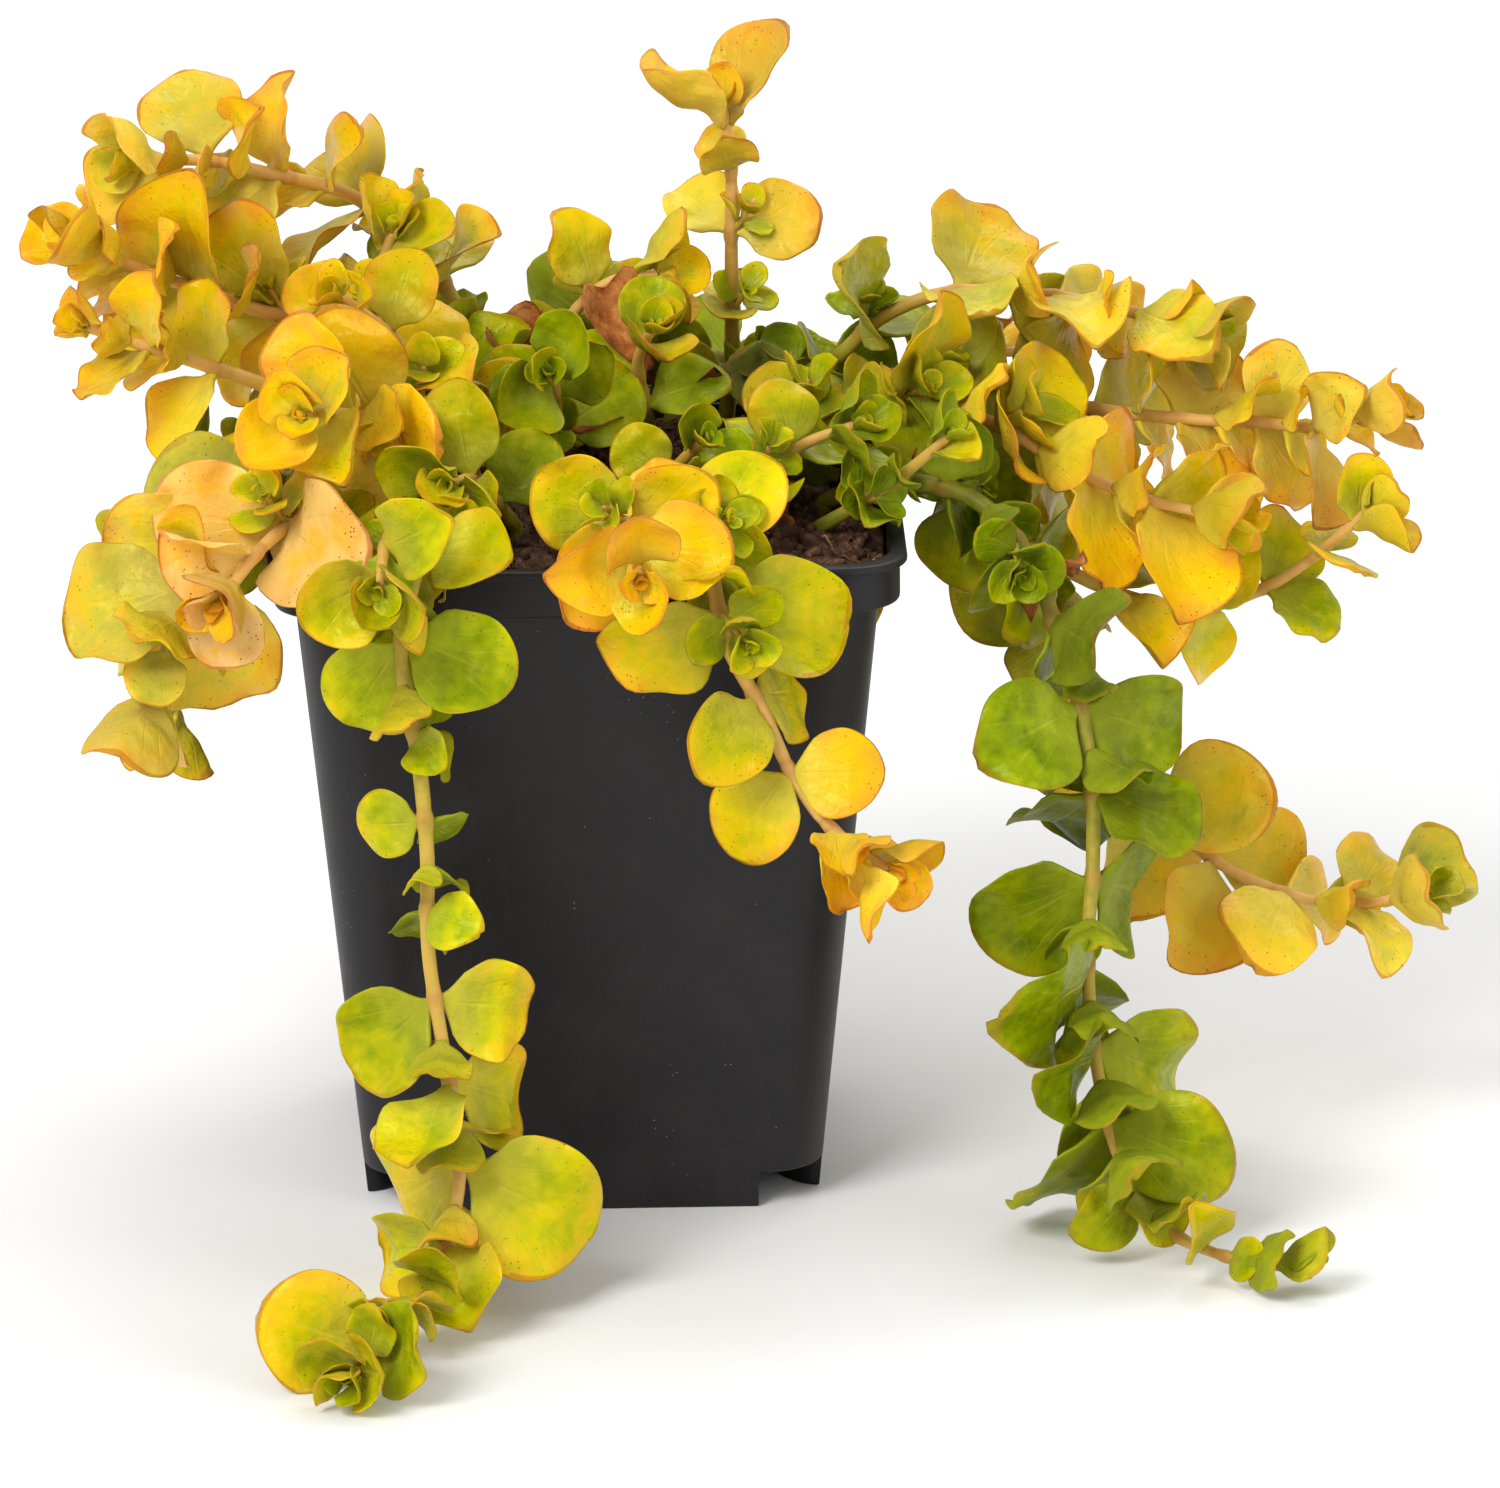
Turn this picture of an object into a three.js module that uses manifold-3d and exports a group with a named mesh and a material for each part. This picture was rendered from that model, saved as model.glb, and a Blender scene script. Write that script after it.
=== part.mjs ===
// Golden creeping jenny in a square nursery pot, in millimetres, +Z up.
// The origin is under the middle of the pot, on the surface that it stands on, and the front faces -Y.
// Every rooted stem is one solid with its round opposite leaves grown onto it, and stands in a plain
// hole in the peat. The two longest stems come down over the rim to the surface and lie along it.
import * as THREE from 'three'
import { mergeVertices } from 'three/addons/utils/BufferGeometryUtils.js'
import Module from 'manifold-3d'

const wasm = await Module()
wasm.setup()
const { Manifold, Mesh: SolidMesh } = wasm

// Pot
const POT_HEIGHT = 98.5
const LIP_HALF = 45
const LIP_DEPTH = 1.2
const BAND_HALF = 44
const BAND_DEPTH = 7
const WALL_TOP_HALF = 41.2
const WALL_BOTTOM_HALF = 32.4
const CORNER_RADIUS = 8.5
const CORNER_STEPS = 4
const WALL_THICKNESS = 1.4
const FLOOR_UNDERSIDE = 5.2
const FLOOR_THICKNESS = 1.5
const FOOT_HALF_LENGTH = 23.5
const FOOT_DEPTH = 9
const FOOT_CURVE_STEPS = 7
const CENTRE_PAD_RADIUS = 9
const CENTRE_PAD_SIDES = 16
const DRAIN_RADIUS = 3.5
const DRAIN_SIDES = 8
const DRAIN_FROM_MIDDLE = 16
// How far a cut runs past the face that it opens.
const CUT = 1
const WELD = 1e-4

// Peat, and the gap that separate pieces keep
const FIT_GAP = 0.3
const PEAT_EDGE_HEIGHT = 94.5
const PEAT_CROWN = 5
const PEAT_RINGS = 5
const HOLE_DEPTH = 12
const HOLE_CUT_ABOVE = 4
const HOLE_SIDES = 4
const SHOULDER_EASE = 2

// Stems
const STEM_RADIUS = 1.7
const STEM_TIP_RADIUS = 1.0
const STEM_STEP = 9
const STEM_SIDES = 4
const PATH_STEPS = 10
const PATH_TENSION = 0.5
// How far above the peat the free part of a stem starts, and how far to each side its direction is read.
const SOIL_LINE_ABOVE = 1
const DIRECTION_REACH = 1
const NODE_HALF = 0.9
const TIP_NODE_HALF = 0.65
const NODE_SWELLING = 1.15

// Leaf pairs, from the lowest one above the peat to the two small pairs of the closed tip. Sizes are
// shares of the stem's leaf radius, and leans are degrees towards the stem's tip.
const FIRST_PAIR = 7
const PAIR_SPACING = 13
const PAIR_CROWDING = 1.15
const GAP_BELOW_TIP = 6.5
const LOWEST_LEAN = 20
const ADDED_LEAN = 14
const TIP_PAIRS = [
  { back: 3.5, size: 0.72, lean: 38 },
  { back: 1.2, size: 0.5, lean: 58 },
]

// How a leaf grows: the usual value of each trait, and how far one leaf may stray from it. Rise is in
// degrees round the stem from the pair's own plane, and roll in degrees round the leaf's own line. Weight
// is how much the upper face looks along the stem, and the rest of them are shares of the leaf's radius.
const VIGOUR_STRAY = 0.16
const SIZE_STRAY = 0.1
const LEAN_STRAY = 14
const ODD_PAIR_TURN = 42
const LEAF_TRAITS = {
  rise: [8, 26], roll: [0, 26], weight: [0.4, 0.25], width: [1.04, 0.08],
  cup: [0.15, 0.11], fold: [0.26, 0.2], bend: [-0.12, 0.26], wave: [0.09, 0.06],
}
const TIP_LEAF_TRAITS = {
  ...LEAF_TRAITS, weight: [0.9, 0], cup: [0.34, 0.11], fold: [0.42, 0.2], bend: [0.1, 0.26],
}

// Blades
const BLADE_HALF_THICKNESS = 0.3
const STALK_SHARE = 0.2
const NOTCH_DEPTH = 0.3
const NOTCH_WIDTH = 0.45
const STEEPEST_LEAN = 76
const LOWEST_LEAF = 0.3
const OWN_STEM_GAP = 0.2
const OWN_LEAF_GAP = 0.1

// A generator that multiplies its state and keeps the remainder, and the step between two stems' seeds.
const RANDOM_MULTIPLIER = 48271
const RANDOM_MODULUS = 2147483647
const SEED_STEP = 7919

const degrees = Math.PI / 180
const quarter = Math.PI / 2

// A small repeatable random number generator, so that every run grows the same plant.
function randomFrom(seed) {
  let state = seed
  return () => {
    state = (state * RANDOM_MULTIPLIER) % RANDOM_MODULUS
    return state / RANDOM_MODULUS
  }
}

function solidFromLists(coordinates, corners) {
  const vertProperties = Float32Array.from(coordinates)
  const triVerts = Uint32Array.from(corners)
  return new Manifold(new SolidMesh({ numProp: 3, vertProperties, triVerts }))
}

function solidOf(geometry) {
  const bare = geometry.clone()
  bare.deleteAttribute('normal')
  bare.deleteAttribute('uv')
  const merged = mergeVertices(bare, WELD)
  return solidFromLists(merged.attributes.position.array, merged.index.array)
}

function solidFrom(points, triangles) {
  return solidFromLists(points.flatMap((p) => [p.x, p.y, p.z]), triangles.flat())
}

// Rings of equal length, joined one to the next and closed by a fan at each end.
function loft(rings) {
  const count = rings[0].length
  const triangles = []
  for (let k = 0; k + 1 < rings.length; k++) {
    for (let i = 0; i < count; i++) {
      const a = k * count + i
      const b = k * count + ((i + 1) % count)
      triangles.push([a, b, b + count], [a, b + count, a + count])
    }
  }
  const last = (rings.length - 1) * count
  for (let i = 1; i + 1 < count; i++) {
    triangles.push([0, i + 1, i], [last, last + i, last + i + 1])
  }
  return solidFrom(rings.flat(), triangles)
}

function roundedSquare(half, radius, height) {
  const ring = []
  for (let corner = 0; corner < 4; corner++) {
    for (let i = 0; i <= CORNER_STEPS; i++) {
      const angle = (corner + i / CORNER_STEPS) * 90 * degrees
      const middle = (corner + 0.5) * 90 * degrees
      const x = Math.sign(Math.cos(middle)) * (half - radius) + radius * Math.cos(angle)
      const y = Math.sign(Math.sin(middle)) * (half - radius) + radius * Math.sin(angle)
      ring.push(new THREE.Vector3(x, y, height))
    }
  }
  return ring
}

function wallHalfAt(height) {
  const slope = (WALL_TOP_HALF - WALL_BOTTOM_HALF) / (POT_HEIGHT - BAND_DEPTH)
  return WALL_BOTTOM_HALF + slope * height
}

function column(x, y, radius, from, to, sides) {
  const geometry = new THREE.CylinderGeometry(radius, radius, to - from, sides)
  geometry.rotateX(90 * degrees)
  geometry.translate(x, y, (from + to) / 2)
  return solidOf(geometry)
}

// A foot is a half ellipse under the middle of one side, flush with the wall outside.
function footSolid(turn) {
  const shape = new THREE.Shape()
  shape.absellipse(0, -wallHalfAt(0), FOOT_HALF_LENGTH, FOOT_DEPTH, 0, Math.PI * 2)
  const depth = FLOOR_UNDERSIDE + 2 * CUT
  const options = { depth, bevelEnabled: false, curveSegments: FOOT_CURVE_STEPS }
  const geometry = new THREE.ExtrudeGeometry(shape, options)
  geometry.translate(0, 0, -CUT)
  geometry.rotateZ(turn)
  return solidOf(geometry)
}

function makePot() {
  const bandFoot = POT_HEIGHT - BAND_DEPTH
  const lipFoot = POT_HEIGHT - LIP_DEPTH
  const shoulder = bandFoot + WALL_THICKNESS
  const inside = FLOOR_UNDERSIDE + FLOOR_THICKNESS
  const outer = loft([
    roundedSquare(WALL_BOTTOM_HALF, CORNER_RADIUS, 0),
    roundedSquare(WALL_TOP_HALF, CORNER_RADIUS, bandFoot),
    roundedSquare(BAND_HALF, CORNER_RADIUS, bandFoot),
    roundedSquare(BAND_HALF, CORNER_RADIUS, lipFoot),
    roundedSquare(LIP_HALF, CORNER_RADIUS, lipFoot),
    roundedSquare(LIP_HALF, CORNER_RADIUS, POT_HEIGHT),
  ])
  const innerRadius = CORNER_RADIUS - WALL_THICKNESS
  const cavity = loft([
    roundedSquare(wallHalfAt(inside) - WALL_THICKNESS, innerRadius, inside),
    roundedSquare(wallHalfAt(shoulder) - WALL_THICKNESS, innerRadius, shoulder),
    roundedSquare(BAND_HALF - WALL_THICKNESS, innerRadius, shoulder),
    roundedSquare(BAND_HALF - WALL_THICKNESS, innerRadius, POT_HEIGHT + CUT),
  ])
  // What is cut from under the floor leaves the four feet and a pad in the middle.
  let recess = loft([
    roundedSquare(LIP_HALF, CORNER_RADIUS, -CUT),
    roundedSquare(LIP_HALF, CORNER_RADIUS, FLOOR_UNDERSIDE),
  ])
  for (let side = 0; side < 4; side++) {
    recess = recess.subtract(footSolid(side * 90 * degrees))
  }
  const pad = column(0, 0, CENTRE_PAD_RADIUS, -2 * CUT, FLOOR_UNDERSIDE + CUT, CENTRE_PAD_SIDES)
  recess = recess.subtract(pad)
  let pot = outer.subtract(cavity).subtract(recess)
  for (const x of [DRAIN_FROM_MIDDLE, -DRAIN_FROM_MIDDLE]) {
    for (const y of [DRAIN_FROM_MIDDLE, -DRAIN_FROM_MIDDLE]) {
      pot = pot.subtract(column(x, y, DRAIN_RADIUS, FLOOR_UNDERSIDE - CUT, inside + CUT, DRAIN_SIDES))
    }
  }
  return pot
}

// The peat is mounded to the middle, with low rolls and hollows.
function peatHeight(x, y) {
  const crown = (1 - (x / LIP_HALF) ** 2) * (1 - (y / LIP_HALF) ** 2)
  const rolls = 0.7 * Math.sin(0.23 * x + 1) * Math.sin(0.29 * y + 2) + 0.4 * Math.sin(0.51 * x - 0.37 * y)
  return PEAT_EDGE_HEIGHT + PEAT_CROWN * crown + rolls
}

function makePeat(stems) {
  const bottom = FLOOR_UNDERSIDE + FLOOR_THICKNESS + FIT_GAP
  const shoulder = POT_HEIGHT - BAND_DEPTH + WALL_THICKNESS + FIT_GAP
  const radius = CORNER_RADIUS - WALL_THICKNESS
  const belowShoulder = wallHalfAt(shoulder - SHOULDER_EASE) - WALL_THICKNESS - FIT_GAP
  const edge = BAND_HALF - WALL_THICKNESS - FIT_GAP
  const rings = [
    roundedSquare(wallHalfAt(bottom) - WALL_THICKNESS - FIT_GAP, radius, bottom),
    roundedSquare(belowShoulder, radius, shoulder),
    roundedSquare(edge, radius, shoulder),
  ]
  for (let k = 0; k < PEAT_RINGS; k++) {
    const share = 1 - k / PEAT_RINGS
    const ring = roundedSquare(edge * share, radius * share, 0)
    rings.push(ring.map((p) => new THREE.Vector3(p.x, p.y, peatHeight(p.x, p.y))))
  }
  let peat = loft(rings)
  const holeRadius = (STEM_RADIUS + FIT_GAP) / Math.cos(Math.PI / HOLE_SIDES)
  for (const stem of stems) {
    const [x, y] = stem.root
    const bottomOfHole = peatHeight(x, y) - HOLE_DEPTH - FIT_GAP
    const top = peatHeight(x, y) + HOLE_CUT_ABOVE
    peat = peat.subtract(column(x, y, holeRadius, bottomOfHole, top, HOLE_SIDES))
  }
  return peat
}

// Each stem: where it stands in the peat, the radius of its largest leaves, the way that its leaves
// face, the seed of its small irregularities, and the points that its free part passes through. Some
// have a pair spacing of their own, or sizes for their pairs, as shares of the largest leaf from the
// lowest pair to the last below the tip, or a tip that is larger, or more closed by some degrees. The
// leaves of hanging stems look less along the stem, so they have a weight of their own. On the stem
// that stands upright each pair crosses the last.
const FRONT = [0, -1, 0.35]
const STEMS = [
  { name: 'stem_front_left_trail', root: [-18, -30], leaf: 7.8, face: [-0.25, -1, 0.3], seed: 11,
    spacing: 11.5, sizes: [1, 1, 0.95, 0.85, 0.62, 0.56, 0.9, 1.1, 1.1, 0.85, 1, 1, 0.9], tip: 1.2,
    weight: 0.1,
    path: [[-20, -40, 102], [-24, -52, 101], [-26, -57, 90], [-24, -59, 76], [-23, -62, 63],
      [-23, -66, 50], [-21, -70, 36], [-19, -74, 22], [-21, -79, 11], [-25, -87, 5.4],
      [-29, -99, 4.6], [-34, -113, 4.4]] },
  { name: 'stem_left_pale', root: [-34, -27], leaf: 9, face: [-0.2, -1, 0.3], seed: 31,
    sizes: [0.9, 1.1, 0.8], tip: 0.8,
    path: [[-40, -38, 104], [-45, -48, 104], [-51, -58, 99]] },
  { name: 'stem_front_left', root: [-24, -34], leaf: 7.6, face: FRONT, seed: 12,
    path: [[-26, -43, 104], [-28, -54, 106], [-29, -66, 103]] },
  { name: 'stem_front_mid', root: [4, -28], leaf: 7.6, face: FRONT, seed: 13,
    path: [[5, -38, 104], [6, -50, 105], [7, -63, 103]] },
  { name: 'stem_front_mid_trail', root: [16, -24], leaf: 7.2, face: [0.1, -1, 0.4], seed: 14,
    weight: 0.1,
    path: [[16, -38, 103], [17, -50, 101], [19, -54, 91], [24, -55, 81], [28, -56, 72],
      [33, -58, 65], [41, -63, 60]] },
  { name: 'stem_right_trail', root: [34, -8], leaf: 7.4, face: [0.5, -1, 0.25], seed: 15,
    spacing: 12, sizes: [0.7, 0.7, 0.95, 1, 1, 1.15, 1.15, 1, 0.95], tip: 1.25, weight: 0.05,
    path: [[44, -13, 102], [55, -19, 101], [63, -24, 93], [66, -27, 85], [69, -30, 76],
      [71, -34, 64], [71, -38, 52], [70, -43, 40], [71, -49, 26], [74, -55, 14], [80, -61, 6],
      [88, -67, 3.6], [97, -72, 3.4]] },
  { name: 'stem_right_trail_back', root: [33, 6], leaf: 7.8, face: [0.2, -0.9, 0.5], seed: 16,
    sizes: [0.8, 0.9, 0.95, 1.05, 1.15, 0.85, 0.8], weight: 0.15,
    path: [[47, 6, 101], [57, 7, 95], [66, 8, 82], [71, 7, 69], [76, 5, 57], [83, 2, 47],
      [92, -1, 40], [103, -4, 36], [112, -7, 36], [119, -9, 38]] },
  { name: 'stem_right_main', root: [26, 1], leaf: 8.4, face: [0.1, -0.8, 0.7], seed: 17,
    path: [[34, 1, 106], [46, 1, 110], [58, 0, 107], [68, -4, 102], [78, -8, 98], [90, -12, 96]] },
  { name: 'stem_right_row', root: [30, 15], leaf: 7, face: [0, -0.7, 0.9], seed: 18,
    path: [[44, 16, 106], [58, 16, 107], [72, 14, 105], [86, 11, 104], [98, 8, 104], [106, 5, 104],
      [114, 3, 107]] },
  { name: 'stem_right_low', root: [20, -8], leaf: 7, face: [0, -0.8, 0.7], seed: 19,
    path: [[36, -4, 103], [52, -6, 98], [64, -8, 90], [76, -6, 83], [88, -4, 80], [98, -4, 83],
      [106, -5, 89], [112, -7, 95]] },
  { name: 'stem_right_high', root: [26, 27], leaf: 8, face: [0, -0.8, 0.7], seed: 20,
    path: [[32, 26, 105], [38, 24, 111], [44, 22, 117], [54, 20, 121], [68, 17, 121], [79, 15, 119],
      [89, 13, 116]] },
  { name: 'stem_right_orange', root: [35, 33], leaf: 6.6, face: [0.2, -0.5, 1], seed: 21,
    path: [[46, 33, 105], [56, 34, 108], [68, 33, 108]] },
  { name: 'stem_right_green', root: [33, -20], leaf: 5.4, face: [0.3, -0.6, 1], seed: 22,
    path: [[40, -22, 102], [46, -24, 107], [51, -26, 112]] },
  { name: 'stem_right_olive', root: [20, -16], leaf: 6.8, face: [0, -1, 0.6], seed: 23,
    path: [[25, -17, 104], [31, -18, 109], [38, -19, 112]] },
  { name: 'stem_mid_small', root: [9, -14], leaf: 4.8, face: FRONT, seed: 24,
    path: [[11, -17, 103], [14, -21, 108], [17, -25, 112]] },
  { name: 'stem_erect', root: [21, 34], leaf: 6.4, face: [0, -1, 0], seed: 25,
    cross: true, sizes: [0.7, 0.6, 0.95, 0.6], tip: 1.6, closed: 16,
    path: [[22, 31, 109], [22, 28, 120], [22, 27, 131], [22, 26, 139], [21, 25, 148]] },
  { name: 'stem_left_high', root: [-18, 14], leaf: 8, face: [-0.1, -0.8, 0.6], seed: 26,
    path: [[-22, 14, 110], [-32, 13, 118], [-45, 10, 122], [-56, 6, 127], [-64, 3, 131],
      [-71, 0, 135]] },
  { name: 'stem_left_top', root: [-12, 30], leaf: 8, face: [-0.1, -0.7, 0.7], seed: 27,
    path: [[-16, 30, 112], [-23, 31, 126], [-33, 30, 134], [-44, 27, 138], [-54, 24, 141],
      [-63, 22, 141]] },
  { name: 'stem_left_small', root: [-27, 3], leaf: 6.2, face: [-0.2, -0.8, 0.6], seed: 28,
    path: [[-34, 1, 106], [-44, -3, 114], [-56, -8, 120], [-70, -12, 126]] },
  { name: 'stem_left_rosette', root: [-18, -9], leaf: 8.2, face: FRONT, seed: 29,
    path: [[-22, -14, 106], [-28, -24, 114], [-34, -34, 119], [-39, -45, 122]] },
  { name: 'stem_left_low', root: [-30, -14], leaf: 8.6, face: [-0.3, -1, 0.7], seed: 30,
    sizes: [0.9, 1, 1, 1.1, 1.15], weight: 0.15,
    path: [[-37, -21, 104], [-45, -32, 106], [-52, -42, 101], [-58, -47, 91], [-62, -50, 80]] },
  { name: 'stem_centre_green', root: [-4, 4], leaf: 6.8, face: FRONT, seed: 32,
    path: [[-4, 0, 106], [-4, -7, 114], [-5, -15, 119]] },
  { name: 'stem_centre_left_up', root: [-24, 24], leaf: 7.4, face: [0, -0.8, 0.6], seed: 33,
    path: [[-28, 24, 108], [-30, 22, 120], [-27, 19, 131]] },
  { name: 'stem_centre_back', root: [-3, 22], leaf: 7.2, face: [0, -0.7, 0.8], seed: 34,
    path: [[-4, 20, 108], [-2, 20, 117], [4, 20, 123], [11, 20, 124]] },
  { name: 'stem_centre_up', root: [10, 14], leaf: 6.6, face: [0, -0.7, 0.8], seed: 35,
    path: [[9, 12, 107], [8, 9, 114], [10, 5, 120]] },
  { name: 'stem_centre_left_low', root: [-10, -22], leaf: 7.2, face: FRONT, seed: 36,
    path: [[-13, -27, 104], [-16, -34, 109], [-19, -43, 111]] },
  { name: 'stem_centre_left_mid', root: [-12, -1], leaf: 7.2, face: [-0.1, -0.8, 0.6], seed: 37,
    path: [[-16, -4, 108], [-22, -9, 116], [-27, -12, 124], [-34, -16, 131]] },
  { name: 'stem_back_left_trail', root: [-16, 35], leaf: 7.4, face: [-0.3, 1, 0.3], seed: 38,
    path: [[-18, 47, 105], [-21, 57, 99], [-24, 59, 84], [-25, 60, 68], [-24, 62, 52], [-23, 66, 38]] },
  { name: 'stem_back_mid', root: [2, 37], leaf: 7.4, face: [0, 0.9, 0.6], seed: 39,
    path: [[3, 47, 104], [4, 58, 106], [5, 69, 101], [6, 76, 92]] },
  { name: 'stem_back_right_trail', root: [13, 36], leaf: 7.4, face: [0.3, 1, 0.3], seed: 40,
    path: [[18, 47, 104], [24, 57, 99], [28, 60, 86], [30, 61, 70], [31, 63, 54]] },
  { name: 'stem_back_left', root: [-32, 33], leaf: 7.6, face: [-0.5, 0.4, 0.9], seed: 41,
    path: [[-41, 40, 106], [-51, 47, 110], [-60, 53, 110]] },
  { name: 'stem_side_left_trail', root: [-36, 13], leaf: 7.4, face: [-1, 0.1, 0.3], seed: 42,
    path: [[-46, 15, 102], [-55, 18, 98], [-59, 20, 86], [-60, 21, 70], [-60, 22, 56]] },
  { name: 'stem_back_right', root: [34, 23], leaf: 7, face: [0.6, 0.6, 0.8], seed: 43,
    path: [[46, 26, 103], [56, 32, 100], [64, 40, 92], [69, 46, 82]] },
]

// The buried end and the free part of a stem as one smooth line, cut into short straight steps.
function stemLine(stem) {
  const [x, y] = stem.root
  const ground = peatHeight(x, y)
  const points = [
    new THREE.Vector3(x, y, ground - HOLE_DEPTH),
    new THREE.Vector3(x, y, ground + SOIL_LINE_ABOVE),
    ...stem.path.map((p) => new THREE.Vector3(...p)),
  ]
  const curve = new THREE.CatmullRomCurve3(points.slice(1), false, 'catmullrom', PATH_TENSION)
  const free = curve.getPoints(PATH_STEPS * (points.length - 2))
  const line = [points[0], ...free]
  const reach = [0]
  for (let i = 1; i < line.length; i++) {
    reach.push(reach[i - 1] + line[i].distanceTo(line[i - 1]))
  }
  return { line, reach, length: reach[reach.length - 1], soilLine: reach[1] }
}

function pointAt({ line, reach }, distance) {
  let i = 1
  while (i < line.length - 1 && reach[i] < distance) {
    i++
  }
  const share = (distance - reach[i - 1]) / (reach[i] - reach[i - 1])
  return line[i - 1].clone().lerp(line[i], share)
}

function directionAt(route, distance) {
  const ahead = pointAt(route, Math.min(distance + DIRECTION_REACH, route.length))
  const behind = pointAt(route, Math.max(distance - DIRECTION_REACH, 0))
  return ahead.sub(behind).normalize()
}

// The usual size of a pair: the largest stand a little under halfway, and the smallest near the tip.
function usualSize(share) {
  return 0.78 + 0.22 * Math.sin(Math.PI * (0.15 + 0.75 * share))
}

// A value read from a list of evenly spaced ones, in proportion between two of them.
function alongList(list, share) {
  const place = share * (list.length - 1)
  const before = Math.min(Math.floor(place), list.length - 2)
  return list[before] + (list[before + 1] - list[before]) * (place - before)
}

// The pairs of a stem, each with its place, size and lean, from the peat to the closed tip. They stand
// closer together towards the tip, and the largest leaves are usually about halfway.
function leafPairs(stem, route) {
  const pairs = []
  const lastPair = route.length - TIP_PAIRS[0].back - GAP_BELOW_TIP
  const firstPair = route.soilLine + FIRST_PAIR
  const gaps = Math.max(1, Math.round((lastPair - firstPair) / (stem.spacing ?? PAIR_SPACING)))
  for (let k = 0; k <= gaps; k++) {
    const share = k / gaps
    const distance = firstPair + (lastPair - firstPair) * (1 - (1 - share) ** PAIR_CROWDING)
    const size = stem.sizes ? alongList(stem.sizes, share) : usualSize(share)
    pairs.push({ distance, size, lean: LOWEST_LEAN + ADDED_LEAN * share, tip: false })
  }
  for (const { back, size, lean } of TIP_PAIRS) {
    const tip = { size: size * (stem.tip ?? 1), lean: lean + (stem.closed ?? 0), tip: true }
    pairs.push({ distance: route.length - back, ...tip })
  }
  return pairs
}

// The stem is a square tube. It has two rings round each pair, on its swollen node, and one between pairs
// that stand far apart. The rings turn so that a flat side of the stem faces each leaf of the pair.
function stemRings(stem, route, pairs) {
  const places = [{ distance: 0, shift: 0 }, { distance: route.soilLine, shift: 0 }]
  pairs.forEach((pair, node) => {
    const before = places[places.length - 1].distance
    if (pair.distance - before > STEM_STEP) {
      places.push({ distance: (before + pair.distance) / 2, shift: 0 })
    }
    const half = pair.tip ? TIP_NODE_HALF : NODE_HALF
    places.push({ distance: pair.distance, shift: -half, node })
    places.push({ distance: pair.distance, shift: half, node })
  })
  places.push({ distance: route.length, shift: 0 })
  let start = new THREE.Vector3(1, 0.3, 0).normalize()
  let twist = 0
  return places.map(({ distance, shift, node }) => {
    const along = distance <= route.soilLine ? new THREE.Vector3(0, 0, 1) : directionAt(route, distance)
    start = start.clone().addScaledVector(along, -start.dot(along)).normalize()
    const other = along.clone().cross(start)
    if (node !== undefined) {
      const { sideways } = facing(stem, along)
      const wanted = Math.atan2(sideways.dot(other), sideways.dot(start))
      twist = wanted - quarter * Math.round((wanted - twist) / quarter)
    }
    const middle = pointAt(route, distance).addScaledVector(along, shift)
    const taper = STEM_RADIUS + (STEM_TIP_RADIUS - STEM_RADIUS) * (distance / route.length)
    const radius = node === undefined ? taper : taper * NODE_SWELLING
    const corners = []
    for (let i = 0; i < STEM_SIDES; i++) {
      const angle = twist + (i - 0.5) * quarter
      const corner = middle.clone().addScaledVector(start, radius * Math.cos(angle))
      corners.push(corner.addScaledVector(other, radius * Math.sin(angle)))
    }
    return { corners, node, start, other, twist }
  })
}

// The way that a stem's leaves face at one place, square to the stem, and the side direction of a pair.
function facing(stem, along) {
  const face = new THREE.Vector3(...stem.face).normalize()
  const outward = face.clone().addScaledVector(along, -face.dot(along)).normalize()
  return { face, sideways: along.clone().cross(outward) }
}

// A leaf is a round blade with a notch at its short stalk, drawn at these angles from the tip round the
// blade's middle. It is cupped, folded along the midrib, bent towards the tip and waved at the edge.
const OUTLINE_ANGLES = [0, 45, 90, 138, 222, 270, 315]
const SMALL_OUTLINE_ANGLES = [0, 62, 126, 234, 298]

function bladePoint(leaf, angle, share) {
  const fromBase = Math.abs(Math.PI - angle)
  const notch = 1 - NOTCH_DEPTH * Math.exp(-((fromBase / NOTCH_WIDTH) ** 2))
  const reach = leaf.radius * share * notch
  const x = leaf.radius * (1 + STALK_SHARE) + reach * Math.cos(angle)
  const y = reach * Math.sin(angle) * leaf.width
  const wave = leaf.wave * share ** 2 * Math.sin(3 * angle + leaf.phase)
  const height = leaf.cup * share ** 2 + leaf.fold * Math.abs(Math.sin(angle)) * share + wave
  const bend = leaf.bend * (x / (2 * leaf.radius)) ** 2
  return new THREE.Vector3(x, y, leaf.radius * (height + bend))
}

// Where the stalk's corners come in the list of the blade's corners, halfway round it.
function stalkPlace(leaf) {
  return (leaf.outline.length + 1) / 2
}

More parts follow.
